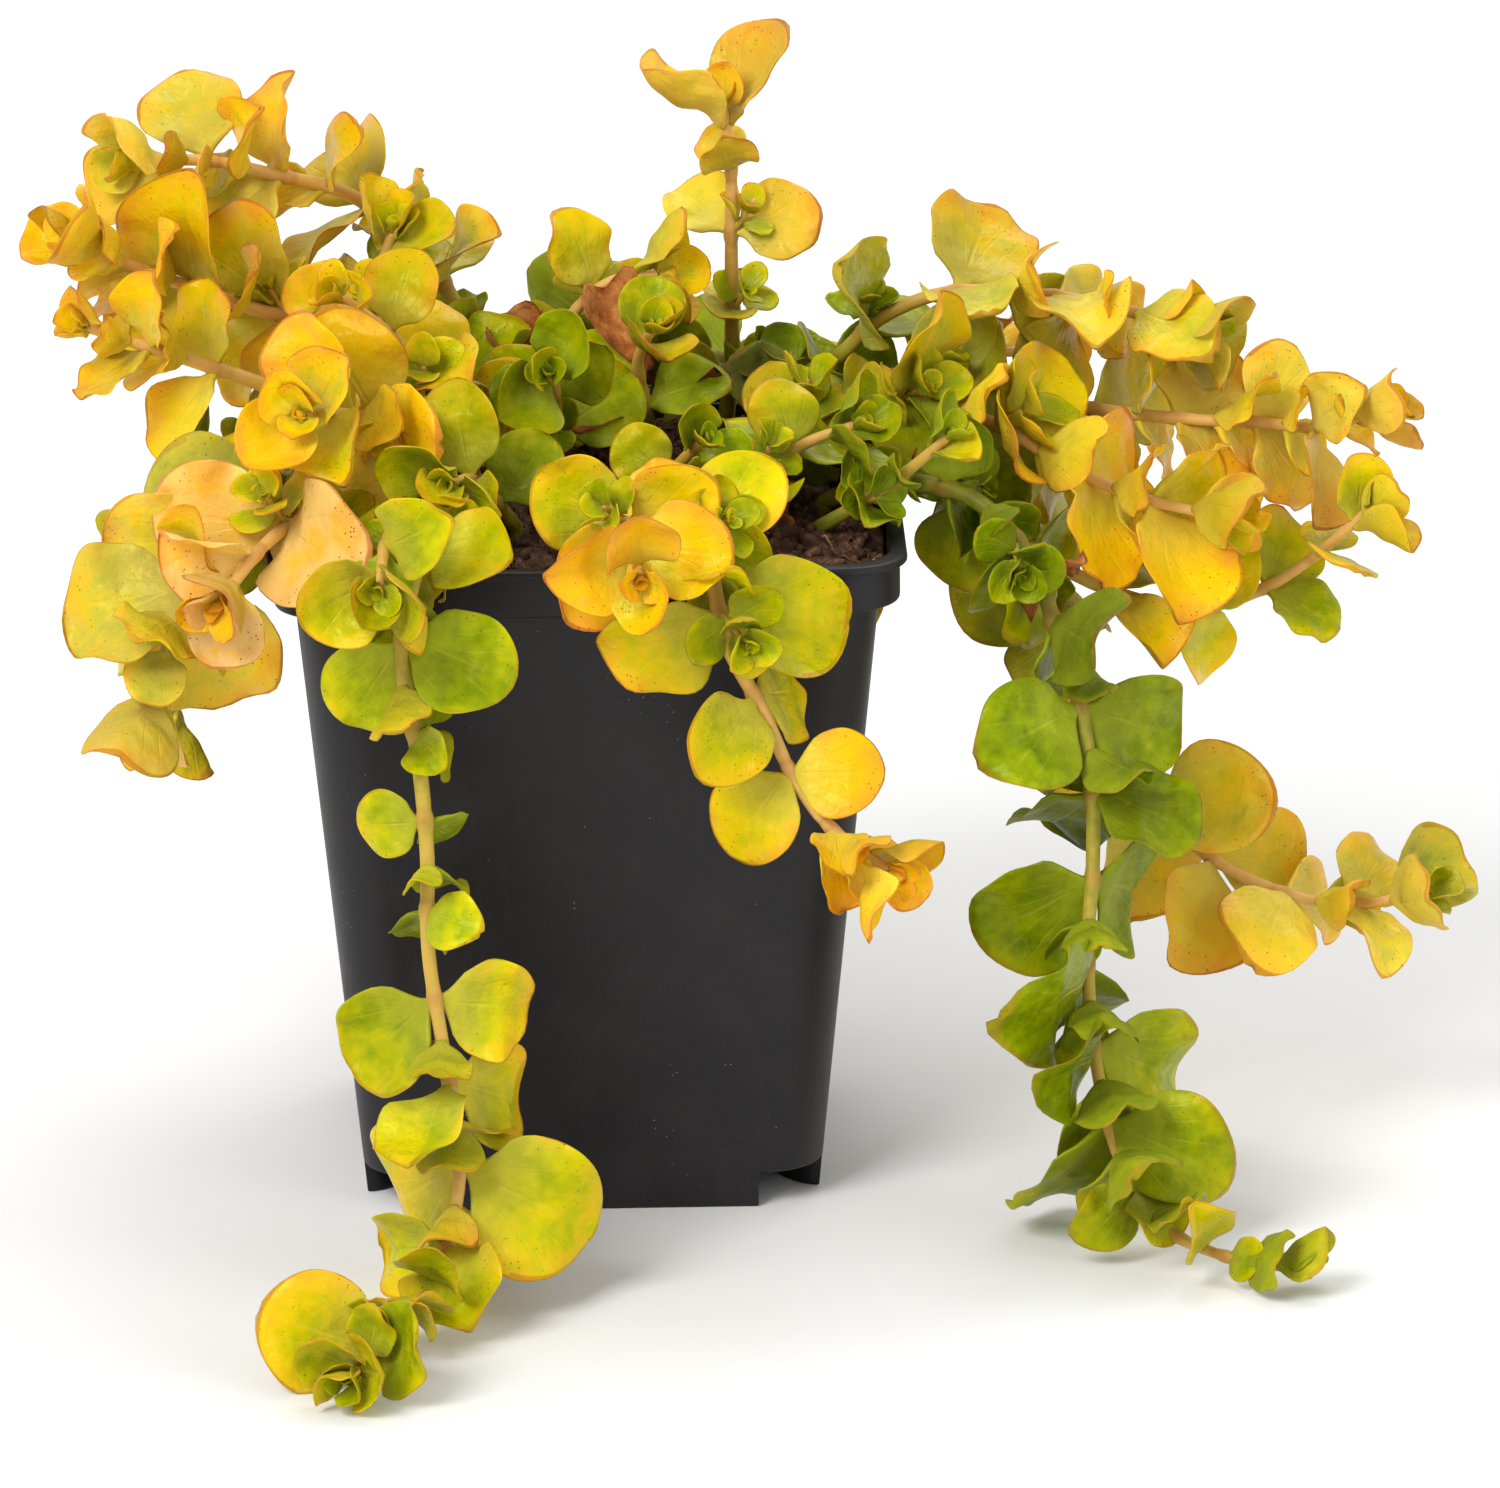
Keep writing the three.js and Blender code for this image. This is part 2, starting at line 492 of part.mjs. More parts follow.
// The blade's upper and lower faces run from the four corners of the stem's flat side out to the tip.
// They are split into triangles alike, and a leaf on its own is closed over those corners.
function leafMesh(leaf, corners, halfThickness, grow) {
  const shape = { ...leaf, radius: leaf.radius + grow }
  const rise = halfThickness * Math.sqrt(1 + leaf.fold ** 2)
  const place = (p, lift) => leaf.base.clone()
    .addScaledVector(leaf.along, p.x)
    .addScaledVector(leaf.across, p.y)
    .addScaledVector(leaf.normal, p.z + lift)
  const face = leaf.outline.map((angle) => bladePoint(shape, angle * degrees, 1))
  face.push(bladePoint(shape, 0, 0))
  const stalk = stalkPlace(leaf)
  const [lowLeft, lowRight, topRight, topLeft] = corners
  const upper = face.map((p) => place(p, rise))
  const lower = face.map((p) => place(p, -rise))
  upper.splice(stalk, 0, topRight, topLeft)
  lower.splice(stalk, 0, lowRight, lowLeft)
  const count = upper.length
  const rim = count - 1
  const triangles = []
  for (let i = 0; i < rim; i++) {
    const next = (i + 1) % rim
    triangles.push([rim, i, next], [rim + count, next + count, i + count])
    if (i !== stalk) {
      triangles.push([i, i + count, next + count], [i, next + count, next])
    }
  }
  return { points: [...upper, ...lower], triangles, count }
}

function leafSolid(leaf, corners, halfThickness, grow) {
  const { points, triangles, count } = leafMesh(leaf, corners, halfThickness, grow)
  const right = stalkPlace(leaf)
  const left = right + 1
  return solidFrom(points, [...triangles, [right, right + count, left + count], [right, left + count, left]])
}

// Where a leaf would touch another plant part, these changes are tried in turn:
// degrees round the stem, degrees of lean towards the tip, and size.
const TRIALS = [
  [0, 0, 1], [22, 0, 1], [-22, 0, 1], [0, 22, 1], [0, -18, 1], [44, 8, 0.95], [-44, 8, 0.95],
  [20, 25, 0.88], [-20, 25, 0.88], [68, 0, 0.85], [-68, 0, 0.85], [30, -16, 0.8], [-30, -16, 0.8],
  [0, 35, 0.75], [110, 8, 0.72], [-110, 8, 0.72], [40, 0, 0.68], [-40, 0, 0.68], [90, 20, 0.66],
  [-90, 20, 0.66], [0, 0, 0.58], [60, 30, 0.55], [-60, 30, 0.55], [0, 45, 0.5], [120, 35, 0.5],
  [-120, 35, 0.5], [0, 0, 0.42], [80, 20, 0.42], [-80, 20, 0.42],
]

function turned(vector, axis, angle) {
  return vector.clone().applyAxisAngle(axis, angle * degrees)
}

// The leaves of a stem as it would grow alone: each has a function from a trial to a leaf. A pair off
// the first plane is turned round the stem, so that the leaves don't hide one another, and the small
// leaves of the tip are cupped and folded more than the others.
function leavesOf(stem, route, pairs) {
  const random = randomFrom(stem.seed * SEED_STEP)
  const vary = ([usual, stray]) => usual + (random() * 2 - 1) * stray
  const leaves = []
  pairs.forEach((pair, node) => {
    const along = directionAt(route, pair.distance)
    const { face, sideways } = facing(stem, along)
    const traits = pair.tip ? TIP_LEAF_TRAITS : LEAF_TRAITS
    const odd = node % 2 === 1
    const crossed = odd && (stem.cross || pair.tip)
    const oddTurn = node % 4 === 3 ? -ODD_PAIR_TURN : ODD_PAIR_TURN
    const pairTurn = crossed ? 90 : odd ? oddTurn : 0
    const vigour = pair.tip ? 1 : vary([1, VIGOUR_STRAY])
    for (const side of [1, -1]) {
      const rise = vary(traits.rise)
      const size = stem.leaf * pair.size * vigour * vary([1, SIZE_STRAY])
      const lean = vary([pair.lean, LEAN_STRAY])
      const roll = vary(traits.roll)
      const weight = vary(pair.tip ? traits.weight : [stem.weight ?? traits.weight[0], traits.weight[1]])
      const form = {
        outline: pair.tip ? SMALL_OUTLINE_ANGLES : OUTLINE_ANGLES,
        width: vary(traits.width),
        cup: vary(traits.cup),
        fold: vary(traits.fold),
        bend: vary(traits.bend),
        wave: vary(traits.wave),
        phase: random() * 2 * Math.PI,
      }
      const base = pointAt(route, pair.distance)
      leaves.push({
        node,
        tip: pair.tip,
        at: ([turn, extraLean, scale]) => {
          const out = turned(sideways.clone().multiplyScalar(side), along, pairTurn + side * (rise + turn))
          const bladeLean = Math.min(lean + extraLean, STEEPEST_LEAN) * degrees
          const direction = out.clone().multiplyScalar(Math.cos(bladeLean))
          direction.addScaledVector(along, Math.sin(bladeLean))
          const wanted = along.clone().multiplyScalar(weight).addScaledVector(face, 1 - weight)
          const normal = wanted.addScaledVector(direction, -wanted.dot(direction)).normalize()
          const rolled = turned(normal, direction, roll)
          const across = rolled.clone().cross(direction)
          return { ...form, radius: size * scale, base, out, along: direction, across, normal: rolled }
        },
      })
    }
  })
  return leaves
}

// The free flat side of the node that a leaf grows from, with its corners in the order that the leaf
// needs: low left, low right, top right and top left, seen from the leaf's tip.
function socketFor(leaf, lower, upper, taken) {
  const angle = Math.atan2(leaf.out.dot(lower.other), leaf.out.dot(lower.start))
  const turns = Math.round((angle - lower.twist) / quarter)
  const side = ((turns % STEM_SIDES) + STEM_SIDES) % STEM_SIDES
  if (taken.includes(side)) {
    return null
  }
  const next = (side + 1) % STEM_SIDES
  const ring = [lower.corners[side], lower.corners[next], upper.corners[next], upper.corners[side]]
  const middle = ring.reduce((sum, p) => sum.add(p), new THREE.Vector3()).divideScalar(4)
  const heights = ring.map((p, i) => {
    const edgeMiddle = p.clone().add(ring[(i + 1) % 4]).divideScalar(2)
    return edgeMiddle.sub(middle).dot(leaf.normal)
  })
  const lowEdge = heights.indexOf(Math.min(...heights))
  return { side, lowEdge, corners: [0, 1, 2, 3].map((i) => ring[(lowEdge + i) % 4]) }
}

function boxesMeet(a, b) {
  return [0, 1, 2].every((i) => a.min[i] <= b.max[i] && b.min[i] <= a.max[i])
}

function overlaps(solid, box, others) {
  return others.some((other) => boxesMeet(box, other.box) && !solid.intersect(other.solid).isEmpty())
}

function clearOfOwnStem(leaf, route) {
  const wanted = STEM_RADIUS + OWN_STEM_GAP
  return leaf.outline.every((angle) => {
    const p = bladePoint(leaf, angle * degrees, 1)
    const place = leaf.base.clone()
      .addScaledVector(leaf.along, p.x)
      .addScaledVector(leaf.across, p.y)
      .addScaledVector(leaf.normal, p.z)
    return route.line.every((q) => q.distanceTo(place) > wanted)
  })
}

function keep(solid, owner) {
  return { solid, box: solid.boundingBox(), owner }
}

// Joins a stem's rings and its leaves in one closed mesh: where a leaf grows, the faces of its blade
// take the place of the stem's flat side and share its four corners.
function plantSolid(rings, grown) {
  const points = rings.flatMap((ring) => ring.corners)
  const triangles = []
  for (let k = 0; k + 1 < rings.length; k++) {
    for (let side = 0; side < STEM_SIDES; side++) {
      const next = (side + 1) % STEM_SIDES
      const index = [k * 4 + side, k * 4 + next, k * 4 + 4 + next, k * 4 + 4 + side]
      const leaf = grown.find((one) => one.ring === k && one.socket.side === side)
      if (!leaf) {
        triangles.push([index[0], index[1], index[2]], [index[0], index[2], index[3]])
        continue
      }
      const { shape, socket } = leaf
      const inOrder = [0, 1, 2, 3].map((i) => index[(socket.lowEdge + i) % 4])
      const [lowLeft, lowRight, topRight, topLeft] = inOrder
      const mesh = leafMesh(shape, socket.corners, BLADE_HALF_THICKNESS, 0)
      const { points: blade, triangles: faces, count } = mesh
      const stalk = stalkPlace(shape)
      const shared = new Map([
        [stalk, topRight], [stalk + 1, topLeft], [stalk + count, lowRight], [stalk + 1 + count, lowLeft],
      ])
      const numbers = blade.map((p, i) => shared.get(i) ?? points.push(p) - 1)
      triangles.push(...faces.map((face) => face.map((i) => numbers[i])))
    }
  }
  const last = (rings.length - 1) * 4
  triangles.push([0, 2, 1], [0, 3, 2], [last, last + 1, last + 2], [last, last + 2, last + 3])
  return solidFrom(points, triangles)
}

// Grows every stem, and sets each leaf in the first trial that clears all that is there before it. The
// tips come first, so that each stem keeps its own. A leaf that no trial clears is left out.
function growPlants(pot, peat) {
  const placed = [keep(pot, 'pot'), keep(peat, 'peat')]
  const starts = STEMS.map((stem) => {
    const route = stemLine(stem)
    const pairs = leafPairs(stem, route)
    const rings = stemRings(stem, route, pairs)
    placed.push({ ...keep(loft(rings.map((ring) => ring.corners)), stem.name), stalk: true })
    return { stem, route, rings, leaves: leavesOf(stem, route, pairs), grown: [] }
  })
  const setLeaf = ({ stem, route, rings, grown }, leaf) => {
    const ring = rings.findIndex((one) => one.node === leaf.node)
    const taken = grown.filter((one) => one.ring === ring).map((one) => one.socket.side)
    const strangers = placed.filter((other) => other.owner !== stem.name)
    const ownLeaves = placed.filter((other) => other.owner === stem.name && !other.stalk)
    TRIALS.some((trial) => {
      const shape = leaf.at(trial)
      const socket = socketFor(shape, rings[ring], rings[ring + 1], taken)
      if (!socket || !clearOfOwnStem(shape, route)) {
        return false
      }
      const wideHalf = BLADE_HALF_THICKNESS + FIT_GAP
      const wide = leafSolid(shape, socket.corners, wideHalf, FIT_GAP / 2)
      const box = wide.boundingBox()
      if (box.min[2] < LOWEST_LEAF || overlaps(wide, box, strangers)) {
        return false
      }
      const bare = leafSolid(shape, socket.corners, BLADE_HALF_THICKNESS + OWN_LEAF_GAP, 0)
      if (overlaps(bare, box, ownLeaves)) {
        return false
      }
      grown.push({ ring, shape, socket })
      placed.push(keep(leafSolid(shape, socket.corners, BLADE_HALF_THICKNESS, 0), stem.name))
      return true
    })
  }
  for (const tip of [true, false]) {
    for (const start of starts) {
      start.leaves.filter((leaf) => leaf.tip === tip).forEach((leaf) => setLeaf(start, leaf))
    }
  }
  return starts.map(({ rings, grown }) => plantSolid(rings, grown))
}

function meshOf(name, solid, material) {
  const { numProp, vertProperties, triVerts } = solid.getMesh()
  const positions = new Float32Array((vertProperties.length / numProp) * 3)
  for (let i = 0; i < positions.length / 3; i++) {
    positions.set(vertProperties.subarray(i * numProp, i * numProp + 3), i * 3)
  }
  const geometry = new THREE.BufferGeometry()
  geometry.setAttribute('position', new THREE.BufferAttribute(positions, 3))
  geometry.setIndex(Array.from(triVerts))
  geometry.computeVertexNormals()
  const mesh = new THREE.Mesh(geometry, material)
  mesh.name = name
  return mesh
}

const potMaterial = new THREE.MeshStandardMaterial({ color: 0x232326, roughness: 0.55, metalness: 0 })
const peatMaterial = new THREE.MeshStandardMaterial({ color: 0x3a2618, roughness: 0.95, metalness: 0 })
const leafMaterial = new THREE.MeshStandardMaterial({ color: 0xc3b31c, roughness: 0.45, metalness: 0 })

const pot = makePot()
const peat = makePeat(STEMS)
const plants = growPlants(pot, peat)

const plant = new THREE.Group()
plant.name = 'potted_creeping_jenny'
plant.add(meshOf('pot', pot, potMaterial))
plant.add(meshOf('peat', peat, peatMaterial))
plants.forEach((solid, i) => plant.add(meshOf(STEMS[i].name, solid, leafMaterial)))

export default plant
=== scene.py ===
# %% [markdown]
# # Potted golden creeping jenny
# A square nursery pot holds moist peat, and 33 rooted stems of creeping jenny grow from it. Their
# round leaves stand in pairs, green at the crown and golden to orange towards the tips. The two
# longest stems come down over the rim and lie along the surface that the pot stands on.
#
# The solids of the part are the frame. Each fine piece here takes the place of one solid and keeps its
# form, so the plant that is seen is the plant that is weighed. Sizes are in millimetres, as a grower
# would measure them, and become metres when a mesh is made.

# %% Load the solids
import math
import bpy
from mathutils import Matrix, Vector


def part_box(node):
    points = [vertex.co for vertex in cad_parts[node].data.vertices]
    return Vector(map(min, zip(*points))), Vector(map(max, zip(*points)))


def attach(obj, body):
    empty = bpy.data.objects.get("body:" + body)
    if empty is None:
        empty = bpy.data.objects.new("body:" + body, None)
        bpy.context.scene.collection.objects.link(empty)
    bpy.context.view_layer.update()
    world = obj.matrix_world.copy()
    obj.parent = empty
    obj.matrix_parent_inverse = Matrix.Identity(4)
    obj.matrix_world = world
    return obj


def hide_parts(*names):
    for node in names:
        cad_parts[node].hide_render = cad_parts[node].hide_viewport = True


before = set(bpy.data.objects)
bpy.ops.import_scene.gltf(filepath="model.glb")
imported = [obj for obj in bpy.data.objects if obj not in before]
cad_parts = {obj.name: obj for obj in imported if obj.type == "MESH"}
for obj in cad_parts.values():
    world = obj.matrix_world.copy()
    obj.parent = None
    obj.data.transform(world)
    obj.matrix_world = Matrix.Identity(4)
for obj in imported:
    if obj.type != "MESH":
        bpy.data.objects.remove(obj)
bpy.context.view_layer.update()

from types import SimpleNamespace

import bpy
import numpy as np
from mathutils import Euler, Matrix, Vector

# %% [markdown]
# ## Meshes from whole arrays
# A piece can be modelled by hand, with modifiers, or as a surface that is worked out from two
# parameters. A plant has hundreds of leaves that differ in a few numbers, so each surface here is a
# function of a row and a column. Every one is a closed tube: rings of points, one after another, with a
# point at each end, so nothing is left open and the faces point outwards.

# %% A closed tube from rings of points
MM = 0.001


def tube(rings, start, end, marks=None, uv=None, material=0):
    """Rings (rows, columns, 3) joined by four-sided faces, and a fan from each end ring to its point.

    Each mark is an array (rows, columns). The points at the ends take the mean of their ring's marks.
    """
    rows, columns = rings.shape[:2]
    points = np.concatenate([rings.reshape(-1, 3), [start], [end]])
    column = np.arange(columns)
    after = (column + 1) % columns
    low = columns * np.arange(rows - 1)[:, None]
    high = low + columns
    quads = np.stack([low + column, low + after, high + after, high + column], axis=-1).reshape(-1, 4)
    last = columns * (rows - 1)
    first_fan = np.stack([np.full(columns, rows * columns), after, column], axis=-1)
    last_fan = np.stack([np.full(columns, rows * columns + 1), last + column, last + after], axis=-1)
    triangles = np.concatenate([first_fan, last_fan])
    corners = points[np.concatenate([triangles, quads[:, [0, 1, 2]], quads[:, [0, 2, 3]]])]
    volume = np.einsum("ij,ij->", corners[:, 0], np.cross(corners[:, 1], corners[:, 2])) / 6
    if volume < 0:
        quads, triangles = quads[:, ::-1], triangles[:, ::-1]
    flat = {name: with_ends(values) for name, values in (marks or {}).items()}
    flat_uv = None if uv is None else np.stack([with_ends(uv[..., 0]), with_ends(uv[..., 1])], axis=-1)
    return SimpleNamespace(points=points, quads=quads, triangles=triangles, marks=flat, uv=flat_uv,
                           material=material)


def with_ends(values):
    """The values of all rings in one row, and then the mean of the first and of the last ring."""
    return np.concatenate([values.ravel(), [values[0].mean(), values[-1].mean()]])


def rings_round(path, first, second, radius, angle):
    """Rings round the points of a path: path + radius (first cos(angle) + second sin(angle))."""
    aside, up = radius * np.cos(angle), radius * np.sin(angle)
    return path[:, None] + first[:, None] * aside[..., None] + second[:, None] * up[..., None]


# %% One mesh from many surfaces
def make_mesh(name, surfaces, materials):
    """Joins surfaces in one mesh. Their marks become attributes, and uv the map that is read."""
    starts = np.cumsum([0] + [len(s.points) for s in surfaces])
    faces = []
    for s, start in zip(surfaces, starts):
        faces += (s.quads + start).tolist() + (s.triangles + start).tolist()
    mesh = bpy.data.meshes.new(name)
    mesh.from_pydata(np.concatenate([s.points for s in surfaces]) * MM, [], faces)
    kinds = np.concatenate([np.full(len(s.quads) + len(s.triangles), s.material) for s in surfaces])
    mesh.polygons.foreach_set("material_index", kinds)
    mesh.shade_smooth()
    for mark in sorted({mark for s in surfaces for mark in s.marks}):
        values = np.concatenate([s.marks.get(mark, np.zeros(len(s.points))) for s in surfaces])
        mesh.attributes.new(mark, "FLOAT", "POINT").data.foreach_set("value", values.astype(np.float32))
    uv = np.concatenate([np.zeros((len(s.points), 2)) if s.uv is None else s.uv for s in surfaces])
    uv = uv[np.concatenate(faces)].astype(np.float32)
    mesh.uv_layers.new(name="surface").data.foreach_set("uv", uv.ravel())
    for material in materials:
        mesh.materials.append(material)
    mesh.validate()
    return mesh


def make_piece(name, surfaces, materials, node=None):
    """A finished piece at the origin, which takes the place of the node's solid if one is named."""
    piece = bpy.data.objects.new(name, make_mesh(name, surfaces, materials))
    bpy.context.scene.collection.objects.link(piece)
    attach(piece, "root")
    if node:
        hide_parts(node)
    return piece


def triangle_count(piece):
    """Triangles of a finished piece: each face has two fewer than it has sides."""
    return len(piece.data.loops) - 2 * len(piece.data.polygons)


# %% [markdown]
# ## Materials written as sums
# A material could be wired by hand, node by node. Here a socket is wrapped in a small class, so that
# a sum such as 1 - rim * 0.4 adds the nodes itself and reads as what it means.

# %% A socket that takes part in sums
class Value:
    """One number of a material, which may change over the surface."""

    def __init__(self, tree, socket):
        self.tree, self.socket = tree, socket

    def sum_with(self, operation, first, second=0.0):
        return self.tree.node("ShaderNodeMath", {"operation": operation}, {0: first, 1: second})

    def __add__(self, other): return self.sum_with("ADD", self, other)
    def __radd__(self, other): return self.sum_with("ADD", other, self)
    def __sub__(self, other): return self.sum_with("SUBTRACT", self, other)
    def __rsub__(self, other): return self.sum_with("SUBTRACT", other, self)
    def __mul__(self, other): return self.sum_with("MULTIPLY", self, other)
    def __abs__(self): return self.sum_with("ABSOLUTE", self)
    def fraction(self): return self.sum_with("FRACT", self)

    def between(self, low, high):
        """0 below low, 1 above high and a soft slope between them. With low above high it falls."""
        settings = {"interpolation_type": "SMOOTHSTEP"}
        return self.tree.node("ShaderNodeMapRange", settings, {0: self, 1: low, 2: high, 3: 0.0, 4: 1.0})


# %% A material and its nodes
class Finish:
    """A material in the making: node() adds any node, and the other methods name the common ones."""

    def __init__(self, name, **constants):
        self.material = bpy.data.materials.new(name)
        self.material.use_nodes = True
        self.tree = self.material.node_tree
        self.shader = self.tree.nodes["Principled BSDF"]
        for socket, value in constants.items():
            self.shader.inputs[socket.replace("_", " ")].default_value = value
        print("finish", name)

    def node(self, kind, settings=None, inputs=None, output=0):
        node = self.tree.nodes.new(kind)
        for name, value in (settings or {}).items():
            if name == "stops":
                set_stops(node.color_ramp, value)
            else:
                setattr(node, name, value)
        for socket, value in (inputs or {}).items():
            if isinstance(value, Value):
                self.tree.links.new(value.socket, node.inputs[socket])
            else:
                node.inputs[socket].default_value = value
        return Value(self, node.outputs[output])

    def mark(self, name):
        return self.node("ShaderNodeAttribute", {"attribute_name": name}, output="Fac")

    def place(self):
        return self.node("ShaderNodeTexCoord", output="Object")

    def noise(self, scale, detail=3.0, roughness=0.5, place=None):
        inputs = {"Vector": place or self.place(), "Scale": scale, "Detail": detail, "Roughness": roughness}
        return self.node("ShaderNodeTexNoise", {}, inputs)

    def cells(self, scale):
        """Distance to the nearest of many scattered points, for specks and dots."""
        return self.node("ShaderNodeTexVoronoi", {}, {"Vector": self.place(), "Scale": scale})

    def blend(self, share, first, second):
        """A colour that goes from the first to the second as the share goes from 0 to 1."""
        return self.node("ShaderNodeMix", {"data_type": "RGBA"}, {0: share, 6: first, 7: second}, output=2)

    def ramp(self, value, stops):
        return self.node("ShaderNodeValToRGB", {"stops": stops}, {0: value})

    def bump(self, height, depth, strength=1.0):
        return self.node("ShaderNodeBump", {}, {"Height": height, "Distance": depth, "Strength": strength})

    def wear(self, **values):
        """Leads what changes over the surface to the shader, and gives back the finished material."""
        for socket, value in values.items():
            self.tree.links.new(value.socket, self.shader.inputs[socket.replace("_", " ")])
        return self.material


def set_stops(ramp, stops):
    while len(ramp.elements) < len(stops):
        ramp.elements.new(1.0)
    for element, (position, colour) in zip(ramp.elements, stops):
        element.position = position
        element.color = colour


def paint(red, green, blue):
    """A colour given as on a screen, 0 to 255, turned into the light that it stands for."""
    screen = np.array([red, green, blue]) / 255
    light = np.where(screen <= 0.04045, screen / 12.92, ((screen + 0.055) / 1.055) ** 2.4)
    return (*light.tolist(), 1.0)


# %% [markdown]
# ## Camera, floor and light
# The picture was taken with a long lens from a little above, so the pot's sides hardly draw
# together. The camera stands where the corners of the pot put it. The floor is plain and pale, and
# wide soft lamps give the even light of a product studio.

# %% Camera
TARGET = np.array([23.5, 0.0, 59.3]) * MM
CAMERA_DISTANCE = 1.820
CAMERA_UP = math.radians(17.0)
CAMERA_LEFT = math.radians(-1.3)
CAMERA_ROLL = math.radians(-0.46)
FOCAL_PIXELS = 12630.0
PICTURE_WIDTH = 1500.0
SENSOR_WIDTH = 36.0

away = np.array([math.sin(CAMERA_LEFT) * math.cos(CAMERA_UP), -math.cos(CAMERA_LEFT) * math.cos(CAMERA_UP),
                 math.sin(CAMERA_UP)])
camera = bpy.data.objects.new("camera", bpy.data.cameras.new("camera"))
camera.data.sensor_fit = "HORIZONTAL"
camera.data.sensor_width = SENSOR_WIDTH
camera.data.lens = FOCAL_PIXELS * SENSOR_WIDTH / PICTURE_WIDTH
turn = Euler((math.pi / 2 - CAMERA_UP, 0, CAMERA_LEFT)).to_matrix() @ Matrix.Rotation(CAMERA_ROLL, 3, "Z")
camera.matrix_world = Matrix.Translation(TARGET + CAMERA_DISTANCE * away) @ turn.to_4x4()
bpy.context.scene.collection.objects.link(camera)
bpy.context.scene.camera = camera
bpy.context.scene.view_settings.view_transform = "Standard"
print("lens", round(camera.data.lens, 1), "mm, camera at", [round(v, 3) for v in camera.location])

# %% Floor
FLOOR_HALF = 3.0
floor_finish = Finish("pale_floor", Roughness=0.9, Specular_IOR_Level=0.2)
floor_tone = floor_finish.noise(2.0, 2.0).between(0.3, 0.7)
floor_paint = floor_finish.wear(Base_Color=floor_finish.blend(floor_tone, paint(238, 238, 237),
                                                              paint(241, 241, 240)))
floor_mesh = bpy.data.meshes.new("floor")
floor_mesh.from_pydata([(-FLOOR_HALF, -FLOOR_HALF, 0), (FLOOR_HALF, -FLOOR_HALF, 0),
                        (FLOOR_HALF, FLOOR_HALF, 0), (-FLOOR_HALF, FLOOR_HALF, 0)], [], [(0, 1, 2, 3)])
floor_mesh.materials.append(floor_paint)
floor = bpy.data.objects.new("floor", floor_mesh)
bpy.context.scene.collection.objects.link(floor)

# %% Lamps
world = bpy.data.worlds.new("studio")
world.use_nodes = True
sky = world.node_tree.nodes["Background"]
sky.inputs["Color"].default_value = (1.0, 1.0, 1.0, 1.0)
sky.inputs["Strength"].default_value = 0.62
bpy.context.scene.world = world


def soft_lamp(name, place, width, watts, aim=(0, 0, 0.07)):
    """A square white area lamp, in metres, turned so that it shines at the aim."""
    lamp = bpy.data.objects.new(name, bpy.data.lights.new(name, "AREA"))
    lamp.data.size = width
    lamp.data.energy = watts
    toward = Vector(aim) - Vector(place)
    lamp.matrix_world = Matrix.Translation(place) @ toward.to_track_quat("-Z", "Y").to_matrix().to_4x4()
    bpy.context.scene.collection.objects.link(lamp)


soft_lamp("key", (-0.9, -1.2, 1.3), width=0.9, watts=27.0)
soft_lamp("fill", (1.4, -1.2, 0.8), width=1.2, watts=7.5)
soft_lamp("top", (0.3, 0.9, 1.6), width=1.2, watts=13.0, aim=(0, 0, 0.08))
print("lamps: key, fill, top")

# %% [markdown]
# ## The pot
# Such a pot is injection moulded in one go from black polypropylene. Its walls lean in so that pots
# nest, a band stiffens the rim, and a thin lip runs round the top. Four shallow feet let water drain.
# It could be built with the Bevel modifier, but its wall is one closed profile carried round a rounded
# square, so every edge gets the small radius that the mould gives it.

# %% Sizes of the pot
pot_low, pot_high = (np.array(corner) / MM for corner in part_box("pot"))
POT_HEIGHT = pot_high[2]
LIP_HALF = pot_high[0]
LIP_DEPTH = 1.2
BAND_HALF = LIP_HALF - 1.0
BAND_DEPTH = 7.0
WALL_TOP_HALF = 41.2
WALL_BOTTOM_HALF = 32.4
CORNER_RADIUS = 8.5
WALL_THICKNESS = 1.4
FLOOR_UNDERSIDE = 5.2
FLOOR_THICKNESS = 1.5
FOOT_HALF_LENGTH = 23.5
FOOT_DEPTH = 9.0
CENTRE_PAD_RADIUS = 9.0
DRAIN_RADIUS = 3.5
DRAIN_FROM_MIDDLE = 16.0
FIT_GAP = 0.3
PROFILE_START = 4.0
INNER_FACE_FROM = 0.62
print("pot", round(2 * LIP_HALF, 1), "mm square,", round(POT_HEIGHT, 1), "mm tall")


def wall_half(height):
    """Half the width of the leaning wall: it grows evenly from the foot to the band."""
    return WALL_BOTTOM_HALF + (WALL_TOP_HALF - WALL_BOTTOM_HALF) * height / (POT_HEIGHT - BAND_DEPTH)


